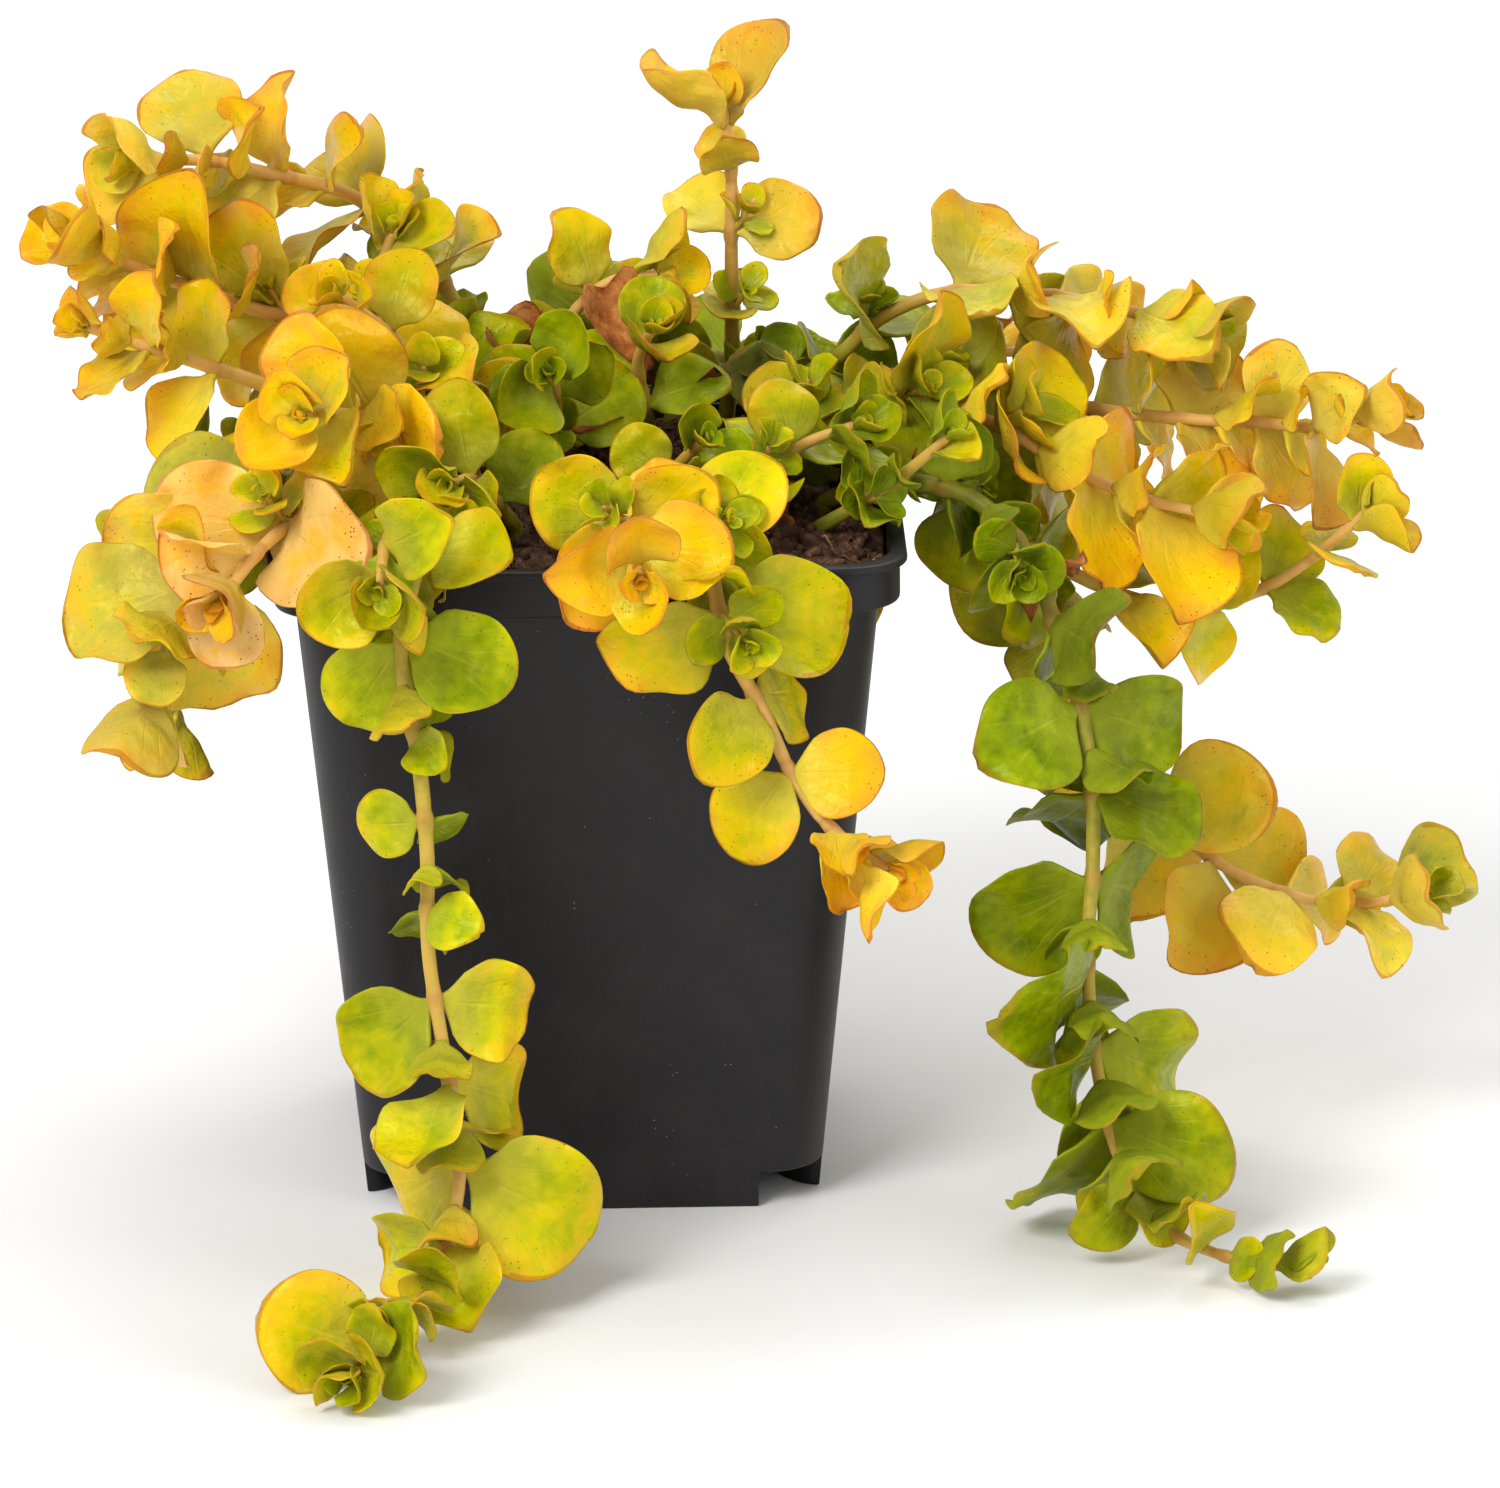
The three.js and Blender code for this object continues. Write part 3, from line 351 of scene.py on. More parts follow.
# %% Rings round a rounded square
def rounded_square(half, radius, height, corner_steps=10, side_steps=8):
    """A ring of points: four straight sides, cut into equal steps, and four quarter circles."""
    half, radius, height = np.broadcast_arrays(*(np.asarray(v, dtype=float) for v in (half, radius, height)))
    corner = np.linspace(0, 90, corner_steps + 1)
    angles = np.concatenate([corner + 90 * k for k in range(4)])
    middles = np.repeat([45, 135, 225, 315], corner_steps + 1)
    reach = (half - radius)[..., None]
    x = reach * np.sign(np.cos(np.radians(middles))) + radius[..., None] * np.cos(np.radians(angles))
    y = reach * np.sign(np.sin(np.radians(middles))) + radius[..., None] * np.sin(np.radians(angles))
    ring = np.stack([x, y], axis=-1)
    count = corner_steps + 1
    parts = []
    for k in range(4):
        begin, stop = ring[..., (k + 1) * count - 1, :], ring[..., ((k + 1) * count) % (4 * count), :]
        share = (np.arange(1, side_steps) / side_steps)[:, None]
        parts.append(ring[..., k * count:(k + 1) * count, :])
        parts.append(begin[..., None, :] * (1 - share) + stop[..., None, :] * share)
    flat = np.concatenate(parts, axis=-2)
    return np.concatenate([flat, np.broadcast_to(height[..., None, None], (*flat.shape[:-1], 1))], axis=-1)


def rounded_profile(corners, radii, steps=4):
    """A path through corners (half width, height), where each corner is a small quarter curve.

    The curve leaves one side at the given distance before its corner, bends towards the corner and
    joins the next side at the same distance after it: (1-t)^2 before + 2t(1-t) corner + t^2 after.
    """
    corners = np.array(corners, dtype=float)
    path = [corners[:1]]
    t = np.linspace(0, 1, steps + 1)[:, None]
    for before, corner, after, radius in zip(corners[:-2], corners[1:-1], corners[2:], radii):
        start = corner + (before - corner) / np.linalg.norm(before - corner) * radius
        stop = corner + (after - corner) / np.linalg.norm(after - corner) * radius
        path.append((1 - t) ** 2 * start + 2 * t * (1 - t) * corner + t ** 2 * stop)
    path.append(corners[-1:])
    return np.concatenate(path)


# %% The wall, the floor and the rim of the pot
band_foot = POT_HEIGHT - BAND_DEPTH
lip_foot = POT_HEIGHT - LIP_DEPTH
inside = FLOOR_UNDERSIDE + FLOOR_THICKNESS
shoulder = band_foot + WALL_THICKNESS
profile_corners = [
    (PROFILE_START, FLOOR_UNDERSIDE), (wall_half(FLOOR_UNDERSIDE), FLOOR_UNDERSIDE),
    (wall_half(band_foot), band_foot), (BAND_HALF, band_foot), (BAND_HALF, lip_foot),
    (LIP_HALF, lip_foot), (LIP_HALF, POT_HEIGHT), (BAND_HALF - WALL_THICKNESS, POT_HEIGHT),
    (BAND_HALF - WALL_THICKNESS, shoulder), (wall_half(shoulder) - WALL_THICKNESS, shoulder),
    (wall_half(inside) - WALL_THICKNESS, inside), (PROFILE_START, inside)]
profile = rounded_profile(profile_corners, [0.5, 0.5, 0.7, 0.4, 0.35, 0.5, 0.5, 0.4, 0.4, 0.8])
# From this share of its points on, the profile is on the inner face, whose corners are tighter.
on_inner_face = np.arange(len(profile)) > len(profile) * INNER_FACE_FROM
corner_radius = np.where(on_inner_face, CORNER_RADIUS - WALL_THICKNESS, CORNER_RADIUS)
wall_rings = rounded_square(profile[:, 0], np.minimum(corner_radius, profile[:, 0] * 0.9), profile[:, 1])
pot_wall = tube(wall_rings, (0, 0, FLOOR_UNDERSIDE), (0, 0, inside))
print("pot wall", len(profile), "rings of", wall_rings.shape[1], "points")


# %% Feet and the pad in the middle
def foot(side):
    """Half an ellipse under the middle of one side, which ends inside the pot's floor. Its outer face
    runs on up the wall and sinks into it so slowly that no line shows. Each ring has its height, the
    share of the foot's size, how far it lies inside the wall's face, and the share of its depth."""
    top = FLOOR_UNDERSIDE
    ring_sizes = np.array([
        (0.0, 0.98, 0.3, 1.0), (0.0, 0.985, 0.25, 1.0), (0.3, 1.0, 0.0, 1.0), (0.6, 1.0, -0.03, 1.0),
        (top + 0.8, 1.0, -0.03, 1.0), (top + 0.9, 1.0, -0.03, 0.08), (top + 4.0, 1.0, 0.0, 0.08),
        (top + 7.0, 1.0, 0.03, 0.08), (top + 8.0, 0.9, 0.6, 0.08)])
    heights, shrink, inward, deep = ring_sizes.T[..., None]
    angle = np.radians(np.concatenate([np.linspace(0, 180, 25), np.linspace(180, 360, 13)[1:-1]]))
    x = FOOT_HALF_LENGTH * np.cos(angle) * shrink
    depth = np.where(np.sin(angle) > 0, FOOT_DEPTH * np.sin(angle), 0.0) * shrink * deep
    y = np.where(np.sin(angle) < -1e-6, inward, np.maximum(depth, inward)) - wall_half(heights)
    turn = np.radians(90 * side)
    rings = np.stack([x * np.cos(turn) - y * np.sin(turn), x * np.sin(turn) + y * np.cos(turn),
                      heights + 0 * x], axis=-1)
    return tube(rings, rings[0].mean(axis=0), rings[-1].mean(axis=0))


def post(profile, x=0.0, y=0.0, sides=32):
    """A profile of (radius, height) turned round an upright line through x and y."""
    radius, height = np.array(profile).T
    path = np.stack([x + 0 * height, y + 0 * height, height], axis=-1)
    angle = np.linspace(0, 2 * np.pi, sides + 1)[:-1]
    rings = rings_round(path, np.array([[1, 0, 0]]), np.array([[0, 1, 0]]), radius[:, None], angle)
    return tube(rings, path[0], path[-1])


pad_sizes = ((0.9, 0.0), (0.97, 0.0), (1.0, 0.3), (1.0, FLOOR_UNDERSIDE + 0.6))
pad = post([(CENTRE_PAD_RADIUS * share, height) for share, height in pad_sizes])

# %% [markdown]
# The plastic is nearly black, with a satin face that scatters a little light. Fine dust and a few pale
# specks of soil lie on it, and faint rubbed lines show where pots were stacked.

# %% Finish of the pot
pot_finish = Finish("black_pot", Specular_IOR_Level=0.32)
stretched = pot_finish.node("ShaderNodeMapping", {}, {"Vector": pot_finish.place(), "Scale": (1, 1, 0.08)},
                            output="Vector")
rub_lines = pot_finish.noise(900.0, 3.0, 0.6, place=stretched).between(0.55, 0.75)
dust_cloud = pot_finish.noise(60.0, 4.0, 0.6).between(0.42, 0.75)
fine_dust = pot_finish.noise(2600.0, 2.0).between(0.6, 0.75)
speck = pot_finish.cells(900.0).between(0.09, 0.05) * pot_finish.noise(160.0, 2.0).between(0.56, 0.68) * 0.7
dust = dust_cloud * 0.22 + fine_dust * 0.18 + rub_lines * 0.1
pot_colour = pot_finish.blend(dust, paint(24, 22, 25), paint(54, 51, 51))
pot_colour = pot_finish.blend(speck, pot_colour, paint(170, 164, 158))
pot_grain = pot_finish.noise(3200.0, 2.0)
pot_paint = pot_finish.wear(Base_Color=pot_colour, Roughness=0.44 + dust * 0.5 + speck * 0.4,
                            Normal=pot_finish.bump(pot_grain, 0.00003, 0.5))

# %% The pot in place, with its drain holes
def drill(piece, tubes):
    """Cuts closed tubes out of a piece with a Boolean modifier, and keeps the result as its mesh."""
    cutter = make_mesh("cutter", tubes, [])
    tool = bpy.data.objects.new("cutter", cutter)
    bpy.context.scene.collection.objects.link(tool)
    modifier = piece.modifiers.new("drill", "BOOLEAN")
    modifier.operation = "DIFFERENCE"
    modifier.object = tool
    ready = piece.evaluated_get(bpy.context.evaluated_depsgraph_get())
    drilled = bpy.data.meshes.new_from_object(ready)
    piece.modifiers.clear()
    piece.data = drilled
    bpy.data.objects.remove(tool)


pot_piece = make_piece("nursery_pot", [pot_wall, pad] + [foot(side) for side in range(4)],
                       [pot_paint], node="pot")
drain_profile = [(DRAIN_RADIUS, FLOOR_UNDERSIDE - 1), (DRAIN_RADIUS, inside + 1)]
drains = [post(drain_profile, x, y) for x in (DRAIN_FROM_MIDDLE, -DRAIN_FROM_MIDDLE)
          for y in (DRAIN_FROM_MIDDLE, -DRAIN_FROM_MIDDLE)]
drill(pot_piece, drains)
pot_piece.data.set_sharp_from_angle(angle=math.radians(50))
print("pot", triangle_count(pot_piece), "triangles,", len(drains), "drain holes")

# %% [markdown]
# ## Random numbers that repeat
# Each stem of the solids grew by rules, with small irregularities from a row of random numbers that
# starts at the stem's own seed. The same rules run here, so every fine leaf lands on its solid one.

# %% The random row
RANDOM_MULTIPLIER = 48271
RANDOM_MODULUS = 2147483647
SEED_STEP = 7919


class RandomRow:
    """Multiplies its state and keeps the remainder: the share of the modulus is the next number."""

    def __init__(self, seed):
        self.state = seed

    def next(self):
        self.state = self.state * RANDOM_MULTIPLIER % RANDOM_MODULUS
        return self.state / RANDOM_MODULUS

    def vary(self, usual, stray):
        return usual + (self.next() * 2 - 1) * stray


# %% [markdown]
# ## The peat
# Potting peat is dark, loose and fibrous. Its surface rises a little to the middle of the pot and is
# made of crumbs of every size. The surface here is a low mound with waves of many lengths added, and
# loose crumbs, bark chips, fibres and a few pale grains lie on it.

# %% Height of the peat
PEAT_EDGE_HEIGHT = 94.5
PEAT_CROWN = 5.0
POT_HALF = 45.0


def peat_height(x, y):
    """A low mound, highest in the middle, with two sets of gentle rolls."""
    crown = (1 - (x / POT_HALF) ** 2) * (1 - (y / POT_HALF) ** 2)
    rolls = 0.7 * np.sin(0.23 * x + 1) * np.sin(0.29 * y + 2) + 0.4 * np.sin(0.51 * x - 0.37 * y)
    return PEAT_EDGE_HEIGHT + PEAT_CROWN * crown + rolls


def lumps(x, y, size, seed):
    """Rough ground from twelve waves of about one length that run in random directions.

    The sum is folded with an absolute value, which gives rounded lumps with creases between them.
    """
    random = np.random.default_rng(seed)
    angle = random.uniform(0, 2 * np.pi, 12)
    length = size * random.uniform(0.75, 1.4, 12)
    phase = random.uniform(0, 2 * np.pi, 12)
    across = np.multiply.outer(x, np.cos(angle)) + np.multiply.outer(y, np.sin(angle))
    return 0.5 - np.abs(np.sin(2 * np.pi * across / length + phase).sum(axis=-1)) / 5


LUMPS = ((1.1, 11.0), (0.8, 5.0), (0.5, 2.6), (0.3, 1.4))


def crumbly_height(x, y):
    """The mound with lumps of four sizes on it. Each entry of the list is a height and a width."""
    height = peat_height(x, y)
    for seed, (rise, size) in enumerate(LUMPS, start=1):
        height = height + rise * lumps(x, y, size, seed)
    return height


# %% The body of the peat
PEAT_RINGS = 84
LAST_RING = 0.012
peat_edge = BAND_HALF - WALL_THICKNESS - FIT_GAP
peat_floor = inside + FIT_GAP
peat_shoulder = shoulder + FIT_GAP
inner_radius = CORNER_RADIUS - WALL_THICKNESS
side_half = np.array([wall_half(peat_floor), wall_half(peat_shoulder - 2)]) - WALL_THICKNESS - FIT_GAP
side_rings = rounded_square(np.append(side_half, peat_edge), inner_radius,
                            [peat_floor, peat_shoulder, peat_shoulder], side_steps=40, corner_steps=8)
share = np.linspace(1, LAST_RING, PEAT_RINGS)
top_rings = rounded_square(peat_edge * share, inner_radius * share, 0 * share, side_steps=40, corner_steps=8)
top_rings[..., 2] = crumbly_height(top_rings[..., 0], top_rings[..., 1])
peat_body = tube(np.concatenate([side_rings, top_rings]), (0, 0, peat_floor),
                 (0, 0, float(crumbly_height(0.0, 0.0))))
print("peat from", round(peat_floor, 1), "to", round(float(top_rings[..., 2].max()), 1), "mm")

# %% Crumbs, chips and grains
PEBBLE_SPREAD = 0.98


def pebbles(count, size, flat, sink, seed, material=0):
    """Small rough lumps: balls of 5 rings with 7 sides whose radius jumps from point to point."""
    random = np.random.default_rng(seed)
    angle = np.linspace(0, 2 * np.pi, 8)[:-1]
    rise = np.radians([-60, -25, 10, 45, 75])[:, None]
    made = []
    for _ in range(count):
        x, y = random.uniform(-peat_edge, peat_edge, 2) * PEBBLE_SPREAD
        radius = size * random.uniform(0.5, 1.5) * random.uniform(0.75, 1.25, (5, 7))
        ball = np.stack([radius * np.cos(rise) * np.cos(angle), 0.7 * radius * np.cos(rise) * np.sin(angle),
                         flat * radius * np.sin(rise) + 0 * angle], axis=-1)
        turn = np.array(Euler(random.uniform(-0.6, 0.6, 2).tolist() + [random.uniform(0, 6.3)]).to_matrix())
        ball = ball @ turn.T + [x, y, float(crumbly_height(x, y)) + size * flat * (0.5 - sink)]
        made.append(tube(ball, ball[0].mean(axis=0), ball[-1].mean(axis=0), material=material))
    return made


# %% Fibres
FIBRE_SPREAD = 0.96
FIBRE_STEPS = 6


def fibres(count, seed):
    """Thin curved strands: three-sided tubes along an arc that starts in the peat and lies on it."""
    random = np.random.default_rng(seed)
    strands = []
    for _ in range(count):
        x, y = random.uniform(-peat_edge, peat_edge, 2) * FIBRE_SPREAD
        heading, bend = random.uniform(0, 2 * np.pi), random.uniform(-0.25, 0.25)
        length = random.uniform(2.5, 8.0)
        share = np.linspace(0, 1, FIBRE_STEPS + 1)
        turn = heading + bend * length * share
        path_x = x + np.concatenate([[0], np.cumsum(np.cos(turn[1:]))]) * length / FIBRE_STEPS
        path_y = y + np.concatenate([[0], np.cumsum(np.sin(turn[1:]))]) * length / FIBRE_STEPS
        path_x, path_y = np.clip(path_x, -peat_edge, peat_edge), np.clip(path_y, -peat_edge, peat_edge)
        lift = random.uniform(0.1, 1.2) * np.sin(np.pi * share)
        path_z = crumbly_height(path_x, path_y) + lift
        radius = random.uniform(0.09, 0.2) * (1 - 0.6 * share)
        side = np.stack([-np.sin(turn), np.cos(turn), 0 * turn], axis=-1)
        path = np.stack([path_x, path_y, path_z], axis=-1)
        rings = rings_round(path, side, np.array([[0, 0, 1]]), radius[:, None], np.radians([90, 210, 330]))
        strands.append(tube(rings, path[0], path[-1], material=1))
    return strands


# %% Finishes of the peat
peat_finish = Finish("moist_peat", Specular_IOR_Level=0.3)
crumb = peat_finish.noise(700.0, 6.0, 0.7)
patch = peat_finish.noise(160.0, 3.0, 0.6)
peat_colour = peat_finish.ramp(crumb * 0.7 + patch * 0.3, [
    (0.32, paint(28, 17, 12)), (0.46, paint(68, 44, 30)), (0.58, paint(112, 78, 54)),
    (0.7, paint(168, 130, 96))])
peat_paint = peat_finish.wear(Base_Color=peat_colour, Roughness=0.95 - patch * 0.25,
                              Normal=peat_finish.bump(peat_finish.noise(1500.0, 5.0, 0.7), 0.0004, 0.9))

fibre_finish = Finish("peat_fibre", Roughness=0.8, Specular_IOR_Level=0.3)
fibre_paint = fibre_finish.wear(Base_Color=fibre_finish.ramp(fibre_finish.noise(240.0, 2.0), [
    (0.35, paint(58, 36, 20)), (0.55, paint(112, 76, 46)), (0.7, paint(176, 138, 96))]))

grain_finish = Finish("pale_grain", Roughness=0.7, Specular_IOR_Level=0.4)
grain_paint = grain_finish.wear(Base_Color=grain_finish.ramp(grain_finish.noise(300.0, 2.0), [
    (0.4, paint(150, 128, 100)), (0.62, paint(226, 214, 194))]))

# %% The peat in place
crumbs = pebbles(850, size=0.75, flat=0.9, sink=0.2, seed=31)
chips = pebbles(170, size=1.5, flat=0.5, sink=0.1, seed=32)
grains = pebbles(70, size=0.4, flat=0.9, sink=0.0, seed=34, material=2)
loose = crumbs + chips + fibres(420, seed=33) + grains
peat_piece = make_piece("peat_surface", [peat_body] + loose, [peat_paint, fibre_paint, grain_paint],
                        node="peat")
print("peat", triangle_count(peat_piece), "triangles,", len(loose), "loose bits")

# %% [markdown]
# ## The rooted stems
# Each stem is a line through a few points: straight up out of the peat, then over the rim and on. The
# numbers below are those of the solids: where it is rooted, the radius of its largest leaves, the way
# that its leaves face, its seed and the points of its free part. The tones are new. They say how the
# leaves are coloured from the peat to the tip: 0 is deep green, 0.5 lime, 0.8 amber and 1 peach. New are
# also how far the leaves have faded, how many pairs get smaller ones after them, and the distances from
# the peat at which a withered leaf hangs.
#
# Some stems of the solids have habits of their own: the spacing of their pairs, every second pair
# crossed, the sizes of the pairs along them, the size of the tip leaves, how far those close, and the
# share of the stem's own direction in the way that its leaves face.

# %% Every stem
FRONT = (0, -1, 0.35)
PAIR_SPACING = 13.0


def stem(name, root, leaf, face, seed, path, tones, **habits):
    """The numbers of one stem. What the habits don't say is as usual."""
    usual = {"spacing": PAIR_SPACING, "cross": False, "sizes": None, "tip": 1.0, "closed": 0.0,
             "weight": 0.4, "fade": 0.0, "between": 0.0, "withered": ()}
    return SimpleNamespace(name=name, root=root, leaf=leaf, face=np.array(face, dtype=float), seed=seed,
                           path=path, tones=tones, **{**usual, **habits})


STEMS = [
    stem("stem_front_left_trail", (-18, -30), 7.8, (-0.25, -1, 0.3), 11, [(-20, -40, 102), (-24, -52, 101),
         (-26, -57, 90), (-24, -59, 76), (-23, -62, 63), (-23, -66, 50), (-21, -70, 36), (-19, -74, 22),
         (-21, -79, 11), (-25, -87, 5.4), (-29, -99, 4.6), (-34, -113, 4.4)],
         (0.54, 0.48, 0.42, 0.48, 0.58, 0.56, 0.48), spacing=11.5,
         sizes=(1, 1, 0.95, 0.85, 0.62, 0.56, 0.9, 1.1, 1.1, 0.85, 1, 1, 0.9), tip=1.2, weight=0.1,
         between=0.95, withered=(6, 12)),
    stem("stem_left_pale", (-34, -27), 9, (-0.2, -1, 0.3), 31,
         [(-40, -38, 104), (-45, -48, 104), (-51, -58, 99)], (0.5, 0.85, 0.9), sizes=(0.9, 1.1, 0.8),
         tip=0.8, fade=0.6, withered=(4, 12)),
    stem("stem_front_left", (-24, -34), 7.6, FRONT, 12, [(-26, -43, 104), (-28, -54, 106), (-29, -66, 103)],
         (0.3, 0.42, 0.5)),
    stem("stem_front_mid", (4, -28), 7.6, FRONT, 13, [(5, -38, 104), (6, -50, 105), (7, -63, 103)],
         (0.5, 0.74, 0.82)),
    stem("stem_front_mid_trail", (16, -24), 7.2, (0.1, -1, 0.4), 14, [(16, -38, 103), (17, -50, 101),
         (19, -54, 91), (24, -55, 81), (28, -56, 72), (33, -58, 65), (41, -63, 60)],
         (0.54, 0.54, 0.58, 0.66, 0.9), weight=0.1, between=0.4),
    stem("stem_right_trail", (34, -8), 7.4, (0.5, -1, 0.25), 15, [(44, -13, 102), (55, -19, 101),
         (63, -24, 93), (66, -27, 85), (69, -30, 76), (71, -34, 64), (71, -38, 52), (70, -43, 40),
         (71, -49, 26), (74, -55, 14), (80, -61, 6), (88, -67, 3.6), (97, -72, 3.4)],
         (0.26, 0.18, 0.2, 0.24, 0.32, 0.42, 0.4), spacing=12,
         sizes=(0.7, 0.7, 0.95, 1, 1, 1.15, 1.15, 1, 0.95), tip=1.25, weight=0.05, between=0.9,
         withered=(5, 13, 34, 37)),
    stem("stem_right_trail_back", (33, 6), 7.8, (0.2, -0.9, 0.5), 16, [(47, 6, 101), (57, 7, 95),
         (66, 8, 82), (71, 7, 69), (76, 5, 57), (83, 2, 47), (92, -1, 40), (103, -4, 36), (112, -7, 36),
         (119, -9, 38)], (0.25, 0.36, 0.46, 0.62, 0.68, 0.5), sizes=(0.8, 0.9, 0.95, 1.05, 1.15, 0.85, 0.8),
         weight=0.15, fade=0.15, between=0.4),
    stem("stem_right_main", (26, 1), 8.4, (0.1, -0.8, 0.7), 17, [(34, 1, 106), (46, 1, 110), (58, 0, 107),
         (68, -4, 102), (78, -8, 98), (90, -12, 96)], (0.4, 0.56, 0.72, 0.78, 0.62), between=0.75),
    stem("stem_right_row", (30, 15), 7, (0, -0.7, 0.9), 18, [(44, 16, 106), (58, 16, 107), (72, 14, 105),
         (86, 11, 104), (98, 8, 104), (106, 5, 104), (114, 3, 107)], (0.35, 0.48, 0.62, 0.7, 0.82),
         fade=0.15, between=0.75, withered=(7, 17)),
    stem("stem_right_low", (20, -8), 7, (0, -0.8, 0.7), 19, [(36, -4, 103), (52, -6, 98), (64, -8, 90),
         (76, -6, 83), (88, -4, 80), (98, -4, 83), (106, -5, 89), (112, -7, 95)],
         (0.2, 0.3, 0.46, 0.54, 0.58), withered=(6, 14)),
    stem("stem_right_high", (26, 27), 8, (0, -0.8, 0.7), 20, [(32, 26, 105), (38, 24, 111), (44, 22, 117),
         (54, 20, 121), (68, 17, 121), (79, 15, 119), (89, 13, 116)], (0.15, 0.25, 0.56, 0.7, 0.68, 0.56),
         fade=0.12, between=0.75),
    stem("stem_right_orange", (35, 33), 6.6, (0.2, -0.5, 1), 21,
         [(46, 33, 105), (56, 34, 108), (68, 33, 108)], (0.5, 0.8)),
    stem("stem_right_green", (33, -20), 5.4, (0.3, -0.6, 1), 22,
         [(40, -22, 102), (46, -24, 107), (51, -26, 112)], (0.3, 0.42)),
    stem("stem_right_olive", (20, -16), 6.8, (0, -1, 0.6), 23,
         [(25, -17, 104), (31, -18, 109), (38, -19, 112)], (0.36, 0.48), withered=(4, 8)),
    stem("stem_mid_small", (9, -14), 4.8, FRONT, 24, [(11, -17, 103), (14, -21, 108), (17, -25, 112)],
         (0.3, 0.4), withered=(3, 6)),
    stem("stem_erect", (21, 34), 6.4, (0, -1, 0), 25, [(22, 31, 109), (22, 28, 120), (22, 27, 131),
         (22, 26, 139), (21, 25, 148)], (0.36, 0.44, 0.56, 0.7, 0.8), cross=True,
         sizes=(0.7, 0.6, 0.95, 0.6), tip=1.6, closed=16, fade=0.12),
    stem("stem_left_high", (-18, 14), 8, (-0.1, -0.8, 0.6), 26, [(-22, 14, 110), (-32, 13, 118),
         (-45, 10, 122), (-56, 6, 127), (-64, 3, 131), (-71, 0, 135)], (0.45, 0.63, 0.74, 0.77),
         between=0.9),
    stem("stem_left_top", (-12, 30), 8, (-0.1, -0.7, 0.7), 27, [(-16, 30, 112), (-23, 31, 126),
         (-33, 30, 134), (-44, 27, 138), (-54, 24, 141), (-63, 22, 141)], (0.3, 0.52, 0.72, 0.75, 0.6),
         fade=0.12, between=0.85),
    stem("stem_left_small", (-27, 3), 6.2, (-0.2, -0.8, 0.6), 28, [(-34, 1, 106), (-44, -3, 114),
         (-56, -8, 120), (-70, -12, 126)], (0.4, 0.7, 0.76), between=0.95),
    stem("stem_left_rosette", (-18, -9), 8.2, FRONT, 29, [(-22, -14, 106), (-28, -24, 114), (-34, -34, 119),
         (-39, -45, 122)], (0.36, 0.68, 0.8, 0.74), between=0.6),
    stem("stem_left_low", (-30, -14), 8.6, (-0.3, -1, 0.7), 30, [(-37, -21, 104), (-45, -32, 106),
         (-52, -42, 101), (-58, -47, 91), (-62, -50, 80)], (0.34, 0.5, 0.64, 0.68),
         sizes=(0.9, 1, 1, 1.1, 1.15), weight=0.15, fade=0.15, between=0.5, withered=(5, 12)),
    stem("stem_centre_green", (-4, 4), 6.8, FRONT, 32, [(-4, 0, 106), (-4, -7, 114), (-5, -15, 119)],
         (0.3, 0.42), withered=(4, 8)),
    stem("stem_centre_left_up", (-24, 24), 7.4, (0, -0.8, 0.6), 33,
         [(-28, 24, 108), (-30, 22, 120), (-27, 19, 131)], (0.42, 0.58)),
    stem("stem_centre_back", (-3, 22), 7.2, (0, -0.7, 0.8), 34,
         [(-4, 20, 108), (-2, 20, 117), (4, 20, 123), (11, 20, 124)], (0.38, 0.56, 0.7),
         withered=(4, 8, 13)),
    stem("stem_centre_up", (10, 14), 6.6, (0, -0.7, 0.8), 35, [(9, 12, 107), (8, 9, 114), (10, 5, 120)],
         (0.36, 0.5), withered=(3, 7, 11, 15)),
    stem("stem_centre_left_low", (-10, -22), 7.2, FRONT, 36,
         [(-13, -27, 104), (-16, -34, 109), (-19, -43, 111)], (0.36, 0.5)),
    stem("stem_centre_left_mid", (-12, -1), 7.2, (-0.1, -0.8, 0.6), 37, [(-16, -4, 108), (-22, -9, 116),
         (-27, -12, 124), (-34, -16, 131)], (0.4, 0.58, 0.7)),
    stem("stem_back_left_trail", (-16, 35), 7.4, (-0.3, 1, 0.3), 38, [(-18, 47, 105), (-21, 57, 99),
         (-24, 59, 84), (-25, 60, 68), (-24, 62, 52), (-23, 66, 38)], (0.2, 0.32, 0.5)),
    stem("stem_back_mid", (2, 37), 7.4, (0, 0.9, 0.6), 39,
         [(3, 47, 104), (4, 58, 106), (5, 69, 101), (6, 76, 92)], (0.25, 0.45, 0.62), withered=(5, 12)),
    stem("stem_back_right_trail", (13, 36), 7.4, (0.3, 1, 0.3), 40, [(18, 47, 104), (24, 57, 99),
         (28, 60, 86), (30, 61, 70), (31, 63, 54)], (0.2, 0.35, 0.5)),
    stem("stem_back_left", (-32, 33), 7.6, (-0.5, 0.4, 0.9), 41,
         [(-41, 40, 106), (-51, 47, 110), (-60, 53, 110)], (0.35, 0.6, 0.75)),
    stem("stem_side_left_trail", (-36, 13), 7.4, (-1, 0.1, 0.3), 42, [(-46, 15, 102), (-55, 18, 98),
         (-59, 20, 86), (-60, 21, 70), (-60, 22, 56)], (0.3, 0.42, 0.62), withered=(5, 14)),
    stem("stem_back_right", (34, 23), 7, (0.6, 0.6, 0.8), 43,
         [(46, 26, 103), (56, 32, 100), (64, 40, 92), (69, 46, 82)], (0.3, 0.55, 0.74), withered=(4, 10)),
]
print(len(STEMS), "stems")

# %% The line of a stem
HOLE_DEPTH = 12.0
PATH_STEPS = 10


